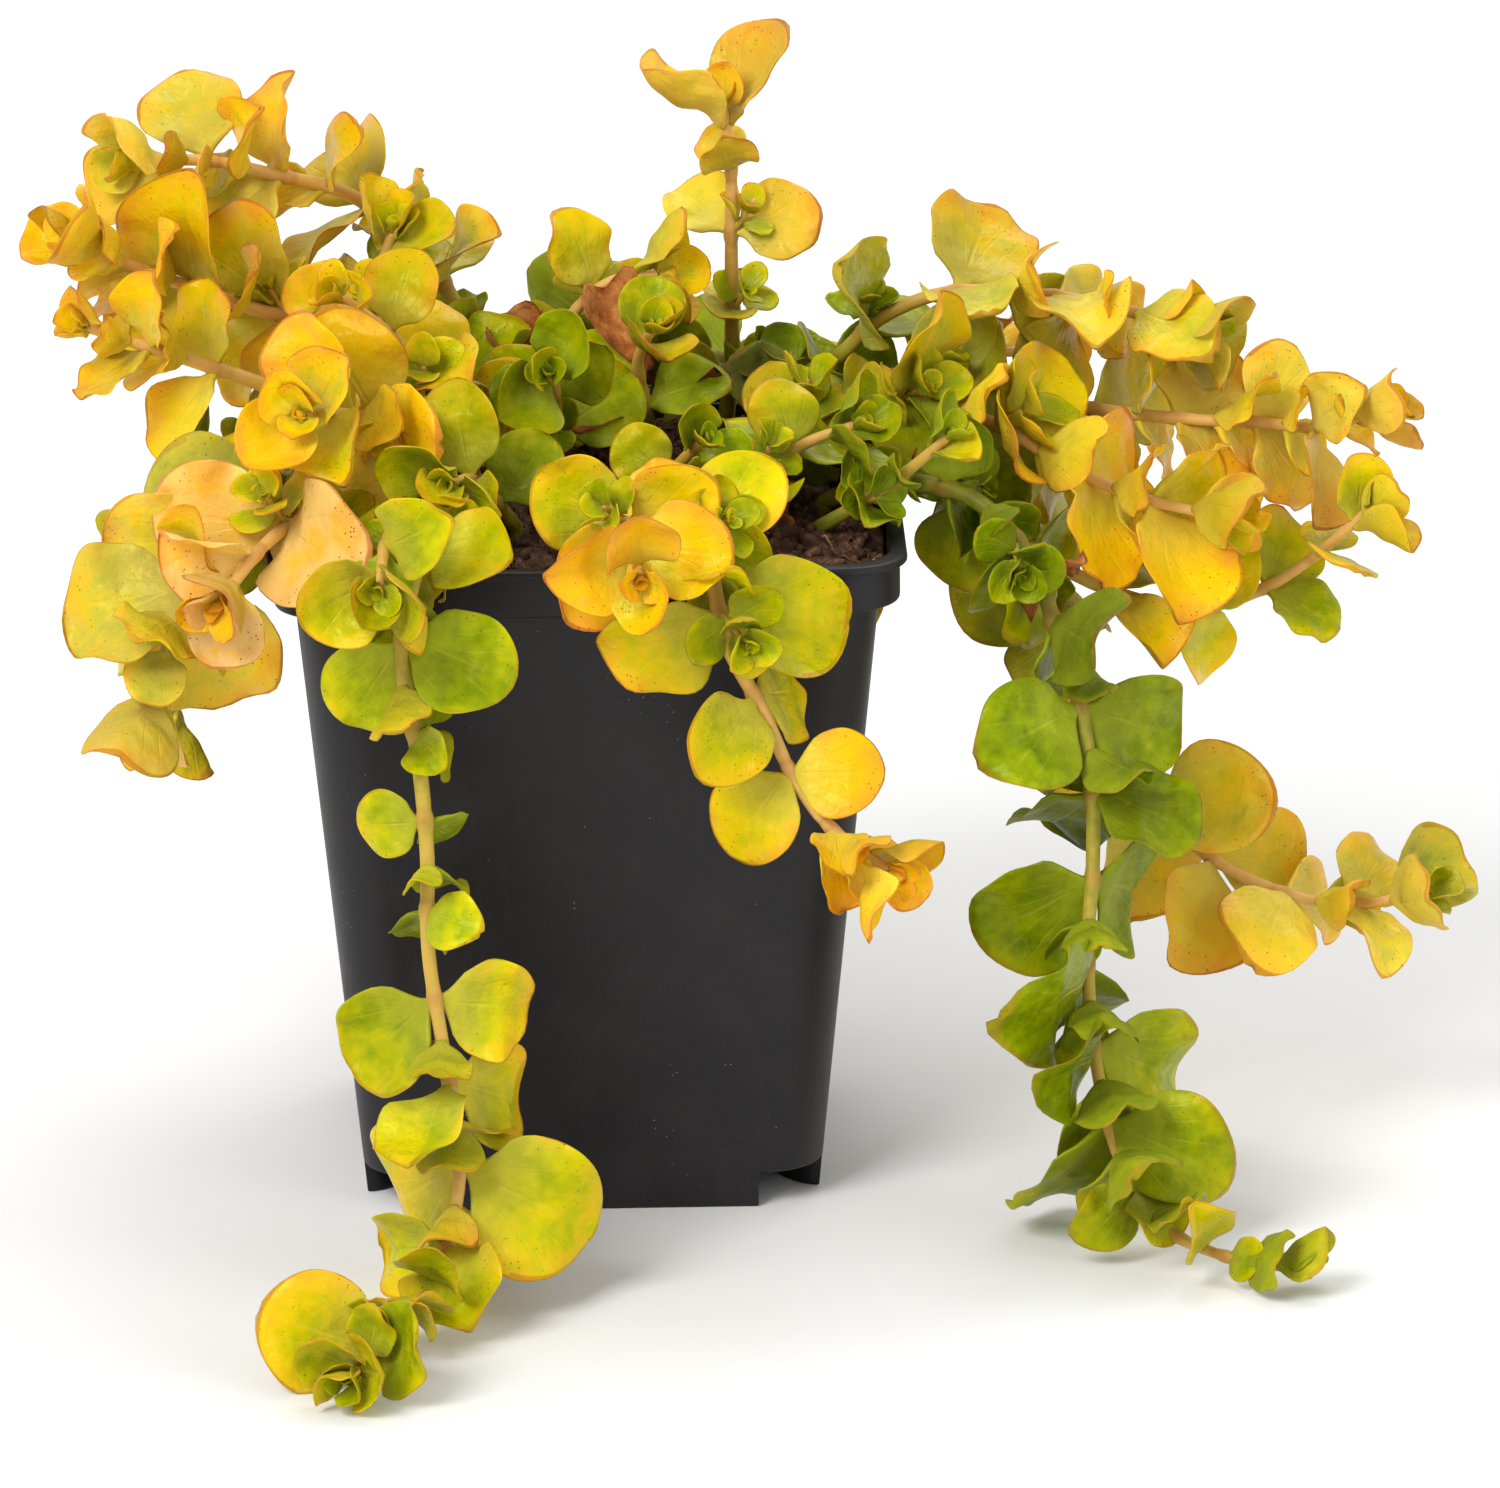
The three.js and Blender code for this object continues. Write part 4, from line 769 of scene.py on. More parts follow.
def route_along(line, free_from):
    """A line with the distance along it of each point. It runs free from one of its points on."""
    reach = np.concatenate([[0], np.cumsum(np.linalg.norm(np.diff(line, axis=0), axis=1))])
    return SimpleNamespace(line=line, reach=reach, length=reach[-1], soil=reach[free_from])


def stem_line(plant):
    """A smooth curve through the points: between two of them, a cubic whose slope at each point is
    half the way from the point before it to the point after it. The first stretch is straight."""
    x, y = plant.root
    ground = float(peat_height(x, y))
    points = np.array([(x, y, ground + 1), *plant.path], dtype=float)
    padded = np.concatenate([[2 * points[0] - points[1]], points, [2 * points[-1] - points[-2]]])
    before, begin, stop, after = padded[:-3], padded[1:-2], padded[2:-1], padded[3:]
    leave, arrive = 0.5 * (stop - before), 0.5 * (after - begin)
    t = np.arange(PATH_STEPS)[None, :, None] / PATH_STEPS
    begin, stop, leave, arrive = (v[:, None] for v in (begin, stop, leave, arrive))
    curve = begin + leave * t + (3 * (stop - begin) - 2 * leave - arrive) * t ** 2
    curve = curve + (2 * (begin - stop) + leave + arrive) * t ** 3
    line = np.concatenate([[(x, y, ground - HOLE_DEPTH)], curve.reshape(-1, 3), points[-1:]])
    return route_along(line, free_from=1)


def point_at(route, distance):
    return np.stack([np.interp(distance, route.reach, route.line[:, axis]) for axis in range(3)], axis=-1)


def unit(vector):
    return vector / np.linalg.norm(vector, axis=-1, keepdims=True)


def square_to(axis, vector):
    """The direction of what is left of a vector when its part along the axis is taken off."""
    return unit(vector - np.dot(vector, axis) * axis)


def direction_at(route, distance):
    ahead = point_at(route, np.minimum(distance + 1, route.length))
    return unit(ahead - point_at(route, np.maximum(distance - 1, 0)))


def turned(vector, axis, angle):
    """Turns a vector round an axis by degrees: v cos + (axis x v) sin + axis (axis . v)(1 - cos)."""
    c, s = math.cos(math.radians(angle)), math.sin(math.radians(angle))
    return vector * c + np.cross(axis, vector) * s + axis * np.dot(axis, vector) * (1 - c)


# %% Places of the leaf pairs
FIRST_PAIR = 7.0
PAIR_CROWDING = 1.15
GAP_BELOW_TIP = 6.5
LOWEST_LEAN = 20.0
ADDED_LEAN = 14.0
TIP_PAIRS = ((3.5, 0.72, 38.0), (1.2, 0.5, 58.0))


def along_list(values, share):
    """A value read from a list of evenly spaced ones, in proportion between two of them."""
    return np.interp(share, np.linspace(0, 1, len(values)), values)


def leaf_pairs(plant, route):
    """Pairs from the peat to the tip, closer together towards it.

    The two last ones close the tip. Their list gives a distance from the tip, a size and a lean.
    """
    last = route.length - TIP_PAIRS[0][0] - GAP_BELOW_TIP
    first = route.soil + FIRST_PAIR
    gaps = max(1, math.floor((last - first) / plant.spacing + 0.5))
    pairs = []
    for k in range(gaps + 1):
        share = k / gaps
        distance = first + (last - first) * (1 - (1 - share) ** PAIR_CROWDING)
        usual = 0.78 + 0.22 * math.sin(math.pi * (0.15 + 0.75 * share))
        size = along_list(plant.sizes, share) if plant.sizes else usual
        lean = LOWEST_LEAN + ADDED_LEAN * share
        pairs.append(SimpleNamespace(distance=distance, size=size, lean=lean, tip=False))
    for back, size, lean in TIP_PAIRS:
        pairs.append(SimpleNamespace(distance=route.length - back, size=size * plant.tip,
                                     lean=lean + plant.closed, tip=True))
    return pairs


# %% The leaves of a stem before they are fitted
STEEPEST_LEAN = 76.0
VIGOUR_STRAY = 0.16
SIZE_STRAY = 0.1
LEAN_STRAY = 14.0
ODD_PAIR_TURN = 42.0
LEAF_TRAITS = {"rise": (8, 26), "roll": (0, 26), "weight": (0.4, 0.25), "width": (1.04, 0.08),
               "cup": (0.15, 0.11), "fold": (0.26, 0.2), "bend": (-0.12, 0.26), "wave": (0.09, 0.06)}
TIP_LEAF_TRAITS = {**LEAF_TRAITS, "weight": (0.9, 0), "cup": (0.34, 0.11), "fold": (0.42, 0.2),
                   "bend": (0.1, 0.26)}


def leaves_of(plant, route, pairs):
    """Each leaf's irregularities, in the order in which the solids drew them.

    A trait is a usual value and how far a leaf may stray from it to either side.
    """
    random = RandomRow(plant.seed * SEED_STEP)
    leaves = []
    for node, pair in enumerate(pairs):
        traits = TIP_LEAF_TRAITS if pair.tip else LEAF_TRAITS
        odd = node % 2 == 1
        crossed = odd and (plant.cross or pair.tip)
        odd_turn = -ODD_PAIR_TURN if node % 4 == 3 else ODD_PAIR_TURN
        vigour = 1 if pair.tip else random.vary(1, VIGOUR_STRAY)
        for side in (1, -1):
            leaf = SimpleNamespace(plant=plant, route=route, pair=pair, side=side)
            leaf.pair_turn = 90 if crossed else odd_turn if odd else 0
            leaf.rise = random.vary(*traits["rise"])
            leaf.size = plant.leaf * pair.size * vigour * random.vary(1, SIZE_STRAY)
            leaf.lean = random.vary(pair.lean, LEAN_STRAY)
            for trait in ("roll", "weight", "width", "cup", "fold", "bend", "wave"):
                setattr(leaf, trait, random.vary(*traits[trait]))
            if not pair.tip:
                leaf.weight += plant.weight - traits["weight"][0]
            leaf.phase = random.next() * 2 * math.pi
            leaves.append(leaf)
    return leaves


def set_leaf(leaf, turn, extra_lean, scale):
    """The leaf's own directions: out from the stem and leaning to its tip, across, and up."""
    along = direction_at(leaf.route, leaf.pair.distance)
    face = unit(leaf.plant.face)
    sideways = np.cross(along, square_to(along, face))
    out = turned(sideways * leaf.side, along, leaf.pair_turn + leaf.side * (leaf.rise + turn))
    lean = math.radians(min(leaf.lean + extra_lean, STEEPEST_LEAN))
    direction = out * math.cos(lean) + along * math.sin(lean)
    wanted = along * leaf.weight + face * (1 - leaf.weight)
    normal = turned(square_to(direction, wanted), direction, leaf.roll)
    leaf.radius = leaf.size * scale
    leaf.base = point_at(leaf.route, leaf.pair.distance)
    leaf.along, leaf.across, leaf.normal = direction, np.cross(normal, direction), normal
    return leaf


# %% The outline of a leaf
STALK_SHARE = 0.2
NOTCH_DEPTH = 0.3
NOTCH_WIDTH = 0.45


def notch(angle):
    """The share of the radius that the outline reaches: less beside the stalk, at 180 degrees."""
    return 1 - NOTCH_DEPTH * np.exp(-((np.abs(np.pi - angle) / NOTCH_WIDTH) ** 2))


def solid_outline(leaf, angle):
    """The outline point of the solid leaf: a circle that is cupped, folded, waved and bent."""
    x = leaf.radius * (1 + STALK_SHARE + notch(angle) * np.cos(angle))
    y = leaf.radius * notch(angle) * np.sin(angle) * leaf.width
    height = leaf.cup + leaf.fold * np.abs(np.sin(angle)) + leaf.wave * np.sin(3 * angle + leaf.phase)
    height = height + leaf.bend * (x / (2 * leaf.radius)) ** 2
    return placed(leaf, x, y, leaf.radius * height)


def placed(leaf, x, y, z):
    """From the leaf's own lengths to the place in the pot."""
    return (leaf.base + np.multiply.outer(x, leaf.along) + np.multiply.outer(y, leaf.across)
            + np.multiply.outer(z, leaf.normal))


# %% [markdown]
# ## Fitting the leaves
# In the solids a leaf that would have touched a neighbour was turned, leaned or made smaller, and one
# that found no room was left out. So each fine leaf tries the same changes in turn and takes the
# first whose outline lies on points of the solid. A change is a turn round the stem, an added lean,
# both in degrees, and a scale.

# %% Trials
TRIALS = (
    (0, 0, 1), (22, 0, 1), (-22, 0, 1), (0, 22, 1), (0, -18, 1), (44, 8, 0.95), (-44, 8, 0.95),
    (20, 25, 0.88), (-20, 25, 0.88), (68, 0, 0.85), (-68, 0, 0.85), (30, -16, 0.8), (-30, -16, 0.8),
    (0, 35, 0.75), (110, 8, 0.72), (-110, 8, 0.72), (40, 0, 0.68), (-40, 0, 0.68), (90, 20, 0.66),
    (-90, 20, 0.66), (0, 0, 0.58), (60, 30, 0.55), (-60, 30, 0.55), (0, 45, 0.5), (120, 35, 0.5),
    (-120, 35, 0.5), (0, 0, 0.42), (80, 20, 0.42), (-80, 20, 0.42))
SOLID_HALF_THICKNESS = 0.3
SAME_PLACE = 0.05


def solid_points(name):
    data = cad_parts[name].data
    points = np.zeros(len(data.vertices) * 3)
    data.vertices.foreach_get("co", points)
    return points.reshape(-1, 3) / MM


def fit_leaf(leaf, points):
    """The first trial whose outline, lifted by half the blade, lies on the solid, or nothing."""
    angles = np.radians([0, 62, 298] if leaf.pair.tip else [0, 90, 270])
    lift = SOLID_HALF_THICKNESS * math.sqrt(1 + leaf.fold ** 2)
    for trial in TRIALS:
        set_leaf(leaf, *trial)
        wanted = solid_outline(leaf, angles) + lift * leaf.normal
        gaps = np.linalg.norm(wanted[:, None] - points[None], axis=-1).min(axis=1)
        if gaps.max() < SAME_PLACE:
            leaf.gap = gaps.max()
            return leaf
    return None


# %% [markdown]
# ## One leaf
# A leaf of creeping jenny is a round, slightly fleshy blade. Its short stalk widens into it like a
# spoon. A flat disc with the Solidify modifier would have a hard edge and a stuck-on stalk, so the
# leaf is one flattened tube from the stem to the tip: wide and thin in the blade, narrow and round in
# the stalk. It is cupped, folded at the midrib, waved at the edge and bent towards the tip.

# %% How many rows and columns a leaf has
def leaf_grid(first_angle, blade_rows, stalk_rows, columns):
    """Rows of the blade are angles from beside the stalk round to the tip, closer at both ends."""
    way = np.linspace(0, 1, blade_rows)
    blade = np.radians(first_angle - (first_angle - 8) * (way + 0.06 * np.sin(2 * np.pi * way)))
    return SimpleNamespace(blade=blade, stalk_rows=stalk_rows,
                           section=np.arange(columns) * 2 * np.pi / columns)


GROWN = leaf_grid(140, 17, 5, 24)
BETWEEN = leaf_grid(140, 15, 4, 20)
YOUNG = leaf_grid(140, 13, 3, 16)
SMALL = leaf_grid(140, 9, 3, 12)

# %% Small ways in which one leaf differs from the next
def leaf_habit(random, tip):
    """Recurved or pinched tips, rolled margins and frills. Leaves of a closed tip have little of it."""
    ease = 0.45 if tip else 1.0
    return SimpleNamespace(
        stalk_power=random.uniform(1.0, 2.4), recurve=ease * random.uniform(-0.1, 0.56),
        pinch=ease * max(0.0, random.uniform(-0.1, 0.18)), roll=ease * random.uniform(-0.26, 0.2),
        frill=ease * random.uniform(0.02, 0.11), frill_count=random.integers(4, 8),
        frill_phase=random.uniform(0, 6.3), skew=random.uniform(-0.07, 0.07),
        swell=random.uniform(0.0, 0.05), point=random.uniform(0.0, 0.05),
        pucker=random.uniform(0.012, 0.032), pucker_turn=random.uniform(0, 3.1))


# %% The rows of a leaf and the height of its blade
STALK_START = 0.6
STALK_HALF = 0.8
SLIM_STALK = 0.16


def smooth_step(value, low, high):
    t = np.clip((value - low) / (high - low), 0, 1)
    return t * t * (3 - 2 * t)


def leaf_rows(leaf, habit, grid):
    """Where each row lies along the leaf, half its width there, and half the width of the stalk.

    From the stalk the width grows as a power of the way to the blade, and then it is the outline's.
    """
    blade_x = leaf.radius * (1 + STALK_SHARE + notch(grid.blade) * np.cos(grid.blade))
    blade_half = leaf.radius * notch(grid.blade) * np.sin(grid.blade) * leaf.width
    way = np.linspace(0, 1, grid.stalk_rows + 1)[:-1]
    stalk_x = STALK_START + (blade_x[0] - STALK_START) * way
    stalk_width = min(STALK_HALF, leaf.radius * SLIM_STALK)
    stalk_half = stalk_width + (blade_half[0] - stalk_width) * way ** habit.stalk_power
    half = np.concatenate([stalk_half, blade_half])
    return np.concatenate([stalk_x, blade_x])[:, None], half[:, None], stalk_width


def round_middle(leaf, x, y):
    """The angle and the distance from the middle of the blade. The distance is 1 on its circle."""
    from_middle, sideways = x - leaf.radius * (1 + STALK_SHARE), y / leaf.width
    return np.arctan2(sideways, from_middle), np.hypot(from_middle, sideways) / leaf.radius


def blade_height(leaf, habit, x, y, across, spread):
    """How far the middle of the blade lies over the leaf's plane, as a share of its radius.

    The height is cup s^2 + fold |y| + wave s^2 sin(3 angle) + bend x^2, where s is the distance from
    the middle of the blade, and it fades in along the stalk. The leaf's habit adds roll |across|^3 at
    the margins, frill s^4 sin(n angle), low puckers from two crossed sines, a tip that drops and a
    dent along its midrib.
    """
    radius = leaf.radius
    angle, share = round_middle(leaf, x, y)
    fade = smooth_step(x, 1.0, 0.85 * radius)
    soft_fold = np.sqrt((y / (radius * leaf.width)) ** 2 + 0.006) - 0.077
    height = (leaf.cup * share ** 2 + leaf.wave * share ** 2 * np.sin(3 * angle + leaf.phase)) * fade
    height = height + leaf.fold * soft_fold * (0.5 + 0.5 * fade) + leaf.bend * (x / (2 * radius)) ** 2
    frill = habit.frill * np.sin(habit.frill_count * angle + habit.frill_phase)
    height = height + (frill * np.minimum(share, 1.1) ** 4 + habit.roll * np.abs(across) ** 3 * spread) * fade
    forth = (x * np.cos(habit.pucker_turn) + y * np.sin(habit.pucker_turn)) / radius
    side = (y * np.cos(habit.pucker_turn) - x * np.sin(habit.pucker_turn)) / radius
    height = height + habit.pucker * np.sin(6.5 * forth + leaf.phase) * np.sin(5.5 * side + leaf.phase) * fade
    to_tip = smooth_step(x, 1.35 * radius, 2.45 * radius)
    dent = habit.pinch * to_tip * np.exp(-((y / (0.3 * radius)) ** 2))
    return height - habit.recurve * to_tip - dent


# %% The surface of a leaf
BLADE_HALF = 0.15
MIDRIB_EXTRA = 0.14
MIDRIB_HALF = 0.7
ABOVE_FLOOR = 0.1


def leaf_surface(leaf, habit, grid, tone, shade, material=1):
    """Rows run from the stem to the tip, and columns round the section.

    Across, a column is the cosine of its angle to the power 0.6, so that the columns crowd at the thin
    margin, and the sine says which face it is on. The stalk is a thick oval, the blade is thin, and a
    rib stiffens its first half.
    """
    radius = leaf.radius
    row_x, half, stalk_width = leaf_rows(leaf, habit, grid)
    sideways, face = np.cos(grid.section)[None], np.sin(grid.section)[None]
    across = np.sign(sideways) * np.abs(sideways) ** 0.6
    spread = smooth_step(row_x, 0.3 * radius, radius)
    wobble = habit.swell * np.sin(2.3 * row_x / radius + habit.frill_phase + 1.6 * np.sign(across))
    y = half * across * (1 + spread * (wobble + habit.skew * np.sign(across)))
    x = row_x + habit.point * radius * smooth_step(row_x, 1.8 * radius, 2.2 * radius) + 0 * across
    rise = radius * blade_height(leaf, habit, x, y, across, spread)
    thin = smooth_step(x, STALK_START, 0.8 * radius)
    rib = np.exp(-((y / MIDRIB_HALF) ** 2)) * (1 - smooth_step(x, radius, 2.1 * radius))
    thickness = stalk_width * 0.8 * (1 - thin) + (BLADE_HALF + MIDRIB_EXTRA * rib) * thin
    rings = placed(leaf, x, y, rise + thickness * np.sign(face) * np.abs(face) ** (0.8 - 0.4 * thin))
    rings[..., 2] = np.maximum(rings[..., 2], ABOVE_FLOOR)
    ones = np.ones_like(x)
    share = round_middle(leaf, x, y)[1]
    edge = np.where(x < radius * (1 + STALK_SHARE), np.abs(across), np.clip(share, 0, 1))
    marks = {"edge": edge * smooth_step(x, 0.35 * radius, 0.8 * radius), "under": (face < -0.1) * ones,
             "stalk": 1 - smooth_step(x, 0.4 * radius, 1.5 * radius), "tone": tone * ones,
             "shade": shade * ones}
    uv = np.stack([0.5 + 0.5 * y / (0.35 * radius + 0.6 * x), x / (2.35 * radius)], axis=-1)
    end = placed(leaf, float(x[-1].mean()) + 0.012 * radius, 0.0, float(rise[-1].mean()))
    end[2] = max(end[2], ABOVE_FLOOR)
    return tube(rings, rings[0].mean(axis=0), end, marks, uv, material=material)


# %% [markdown]
# ## One stem
# The stems are about as thick as a knitting needle, juicy and nearly round. They swell where a pair of
# leaves stands, and thin towards the tip. A curve with a bevel can't swell in places, so the stem is a
# tube whose radius is worked out for each ring.

# %% The surface of a stem
STEM_RADIUS = 1.4
STEM_TIP_RADIUS = 0.72
STEM_RING_STEP = 0.9


def steady_sides(along):
    """A sideways direction for each ring: the one before it, made square to the ring's own way."""
    side = np.array([1.0, 0.3, 0.0])
    sides = []
    for way in along:
        side = square_to(way, side)
        sides.append(side)
    return np.array(sides)


def stem_surface(tones, route, nodes, base_radius=STEM_RADIUS, tip_radius=STEM_TIP_RADIUS, columns=10):
    """The radius falls evenly to the tip. At each pair it has a bump exp(-(d/1.1)^2), where d is the
    distance from the pair, and 1.6 mm before it a fine crease. Four low ridges run along it."""
    distance = np.linspace(0, route.length, int(route.length / STEM_RING_STEP) + 2)
    radius = base_radius + (tip_radius - base_radius) * distance / route.length
    bump = np.exp(-(((distance[:, None] - nodes) / 1.1) ** 2)).max(axis=1)
    crease = np.exp(-(((distance[:, None] - nodes + 1.6) / 0.35) ** 2)).max(axis=1)
    radius = radius * (1 + 0.26 * bump - 0.07 * crease)
    middle = point_at(route, distance)
    along = direction_at(route, distance)
    sides = steady_sides(along)
    angle = np.linspace(0, 2 * np.pi, columns + 1)[:-1]
    ridge = 1 + 0.06 * np.cos(4 * angle)
    rings = rings_round(middle, sides, np.cross(along, sides), radius[:, None] * ridge, angle)
    free = np.clip((distance - route.soil) / (route.length - route.soil), 0, 1)[:, None]
    around = np.ones_like(angle)
    marks = {"tone": along_list(tones, free) * around, "free": free * around,
             "ring": np.maximum(bump, crease)[:, None] * around}
    uv = np.stack([np.ones_like(free) * angle / (2 * np.pi), distance[:, None] / 20 * around], axis=-1)
    return tube(rings, middle[0], middle[-1] + along[-1] * 0.5, marks, uv, material=0)


# %% [markdown]
# ## Finishes of the plant
# The leaves are lime green where they were shaded and turn gold and then orange in the light, most of
# all at their edges. A thin red-orange line runs round each edge, pale veins fan out from the stalk,
# and older leaves have small dark dots. Light passes through the thin blade, which subsurface
# scattering gives. The colours follow the marks on the mesh: tone, edge, under, stalk and shade.

# %% Finish of the leaves
leaf_finish = Finish("creeping_jenny_leaf", Subsurface_Weight=0.16, Subsurface_Scale=0.001,
                     Subsurface_Radius=(1.0, 0.85, 0.05), Specular_IOR_Level=0.28,
                     Specular_Tint=(1.0, 0.92, 0.3, 1.0))
edge, under = leaf_finish.mark("edge"), leaf_finish.mark("under")
stalk, shade = leaf_finish.mark("stalk"), leaf_finish.mark("shade")
own_tone = leaf_finish.mark("tone")
blotch = leaf_finish.noise(105.0, 3.0, 0.6)
fine_blotch = leaf_finish.noise(420.0, 3.0, 0.6)
gold_share = own_tone.between(0.3, 0.7)
tone = (own_tone + (blotch - 0.5) * 0.52 + (fine_blotch - 0.5) * 0.22
        + (edge.between(0.45, 1.0) - 0.4) * (0.04 + gold_share * 0.09) - stalk * 0.16 + 0.02)
leaf_colour = leaf_finish.ramp(tone, [
    (0.0, paint(56, 78, 1)), (0.18, paint(96, 118, 1)), (0.36, paint(142, 156, 1)),
    (0.52, paint(190, 184, 1)), (0.7, paint(232, 194, 5)), (0.86, paint(244, 184, 14)),
    (1.0, paint(244, 176, 44))])

# %% Veins, edges and dots
surface_map = leaf_finish.node("ShaderNodeUVMap", {"uv_map": "surface"}, output="UV")
fan = leaf_finish.node("ShaderNodeSeparateXYZ", {}, {0: surface_map}, output=0)
way_out = leaf_finish.node("ShaderNodeSeparateXYZ", {}, {0: surface_map}, output=1)
off_rib = abs(fan - 0.5) * 2.0
vein_wave = abs((off_rib * 3.2 - way_out * 1.2 + (blotch - 0.5) * 0.4).fraction() - 0.5) * 2.0
side_vein = vein_wave.between(0.8, 1.0) * off_rib.between(0.03, 0.2) * edge.between(0.95, 0.6)
midrib = off_rib.between(0.06, 0.01) * way_out.between(0.9, 0.3)
vein = (side_vein * 0.3 + midrib * 0.7) * way_out.between(0.12, 0.35)
pale_base = leaf_finish.blend(gold_share, paint(170, 176, 40), paint(232, 196, 84))
pale_under = leaf_finish.blend(gold_share, paint(142, 150, 34), paint(214, 180, 56))
leaf_colour = leaf_finish.blend(vein * 0.2, leaf_colour, paint(232, 216, 90))
leaf_colour = leaf_finish.blend(stalk * 0.45, leaf_colour, pale_base)
leaf_colour = leaf_finish.blend(under * 0.4, leaf_colour, pale_under)
blush = edge.between(0.5, 1.0) * gold_share * blotch.between(0.42, 0.62) * 0.35
leaf_colour = leaf_finish.blend(blush, leaf_colour, paint(224, 132, 64))
fade = leaf_finish.mark("fade")
faded = fade * (1.25 - blotch.between(0.5, 0.62) * 0.9)
leaf_colour = leaf_finish.blend(faded, leaf_colour, paint(236, 196, 138))
rim_line = edge.between(0.968, 0.992) * (0.3 + gold_share * 0.34)
leaf_colour = leaf_finish.blend(rim_line, leaf_colour, paint(172, 84, 30))
dots = leaf_finish.cells(1100.0).between(0.19, 0.1) * leaf_finish.noise(170.0, 2.0).between(0.44, 0.56)
dots = dots * (edge.between(0.1, 0.7) * 0.5 + 0.15 + fade * 0.7)
leaf_colour = leaf_finish.blend(dots, leaf_colour, paint(84, 52, 18))
shaded = leaf_finish.node("ShaderNodeHueSaturation", {}, {"Color": leaf_colour, "Value": shade + 1.0})
pucker = leaf_finish.noise(330.0, 2.0, 0.45)
grain = leaf_finish.noise(1500.0, 2.0)
leaf_height = pucker * 1.5 + fine_blotch * 0.5 - vein * 0.4 + grain * 0.12
leaf_paint = leaf_finish.wear(Base_Color=shaded, Roughness=0.24 + fine_blotch * 0.16 + under * 0.25,
                              Normal=leaf_finish.bump(leaf_height, 0.0006, 0.6))

# %% Finish of the stems
stem_finish = Finish("creeping_jenny_stem", Subsurface_Weight=0.25, Subsurface_Scale=0.0014,
                     Subsurface_Radius=(1.0, 0.6, 0.2), Specular_IOR_Level=0.32)
stem_age = stem_finish.mark("tone") * 0.8 + stem_finish.mark("free") * 0.4
stem_streak = stem_finish.noise(500.0, 3.0)
stem_colour = stem_finish.ramp(stem_age + (stem_streak - 0.5) * 0.4, [
    (0.08, paint(92, 94, 14)), (0.3, paint(136, 134, 28)), (0.5, paint(184, 160, 54)),
    (0.68, paint(200, 158, 72)), (0.9, paint(222, 176, 98))])
stem_colour = stem_finish.blend(stem_finish.mark("ring") * 0.45, stem_colour, paint(168, 108, 46))
stem_paint = stem_finish.wear(Base_Color=stem_colour, Roughness=0.42 + stem_streak * 0.15,
                              Normal=stem_finish.bump(stem_streak, 0.0003, 0.4))

# %% Finish of withered leaves
withered_finish = Finish("withered_leaf", Specular_IOR_Level=0.25)
withered_tone = withered_finish.noise(260.0, 4.0, 0.65) * 0.7 + withered_finish.mark("tone") * 0.3
withered_colour = withered_finish.ramp(withered_tone, [
    (0.3, paint(78, 34, 8)), (0.46, paint(126, 64, 20)), (0.6, paint(168, 98, 40)),
    (0.74, paint(206, 146, 76))])
withered_paint = withered_finish.wear(Base_Color=withered_colour, Roughness=0.95 - withered_tone * 0.3,
                                      Normal=withered_finish.bump(withered_finish.noise(900.0, 4.0), 0.0004))

# %% [markdown]
# ## Growing the plant
# Every stem is now made: its tube, the leaves that the solids have, smaller pairs between them, a bud
# of tiny leaves at the tip, short young shoots mostly near the peat, and withered leaves at the oldest
# nodes.

# %% Small leaves that only the fine plant has
def small_leaf(plant, route, distance, turn, side, radius, lean, fold, random):
    """A leaf that the solids don't hold: cupped and folded more than the grown ones."""
    pair = SimpleNamespace(distance=distance)
    leaf = SimpleNamespace(plant=plant, route=route, pair=pair, side=side, pair_turn=turn, size=radius,
                           rise=random.uniform(-14, 14), lean=lean, roll=random.uniform(-18, 18), weight=0.85,
                           width=random.uniform(0.84, 1.04), cup=random.uniform(0.1, 0.36), fold=fold,
                           bend=random.uniform(-0.15, 0.2), wave=0.08, phase=random.uniform(0, 6))
    return set_leaf(leaf, 0, 0, 1)


def above_floor(leaves):
    """Those leaves whose whole outline clears the surface that the pot stands on."""
    angles = np.radians([0, 45, 90, 135, 225, 270, 315])
    return [leaf for leaf in leaves if solid_outline(leaf, angles)[:, 2].min() > 2 * ABOVE_FLOOR]


# %% Buds
BUD_PAIRS = ((0.4, 0, 0.36, 52), (0.0, 90, 0.18, 68))


def bud_leaves(plant, route, radius, random):
    """Two crossed pairs that close the tip: distance from it, turn, share of the radius and lean."""
    leaves = []
    first_turn = random.uniform(-30, 30)
    for back, turn, size, lean in BUD_PAIRS:
        for side in (1, -1):
            bud = small_leaf(plant, route, route.length - back, first_turn + turn, side,
                             radius * size * random.uniform(0.85, 1.1), lean + random.uniform(-8, 6),
                             random.uniform(0.2, 0.45), random)
            bud.cup = random.uniform(0.2, 0.45)
            leaves.append(bud)
    return above_floor(leaves)


# %% Pairs between the grown ones
BETWEEN_SIZES = (0.6, 0.85)


def between_pairs(plant, route, pairs, random):
    """Smaller pairs halfway between the grown ones, a quarter turn round the stem from them."""
    leaves = []
    for pair, later in zip(pairs[:-2], pairs[1:-1]):
        if random.random() < plant.between:
            middle = (pair.distance + later.distance) / 2
            radius = plant.leaf * (pair.size + later.size) / 2 * random.uniform(*BETWEEN_SIZES)
            turn = 90 + random.uniform(-25, 25)
            for side in (1, -1):
                leaves.append(small_leaf(plant, route, middle, turn, side, radius * random.uniform(0.85, 1.1),
                                         random.uniform(15, 45), random.uniform(0.05, 0.4), random))
    return above_floor(leaves)


# %% Young side shoots
SHOOT_STEPS = 8
SHOOT_PAIR_STEP = 2.3


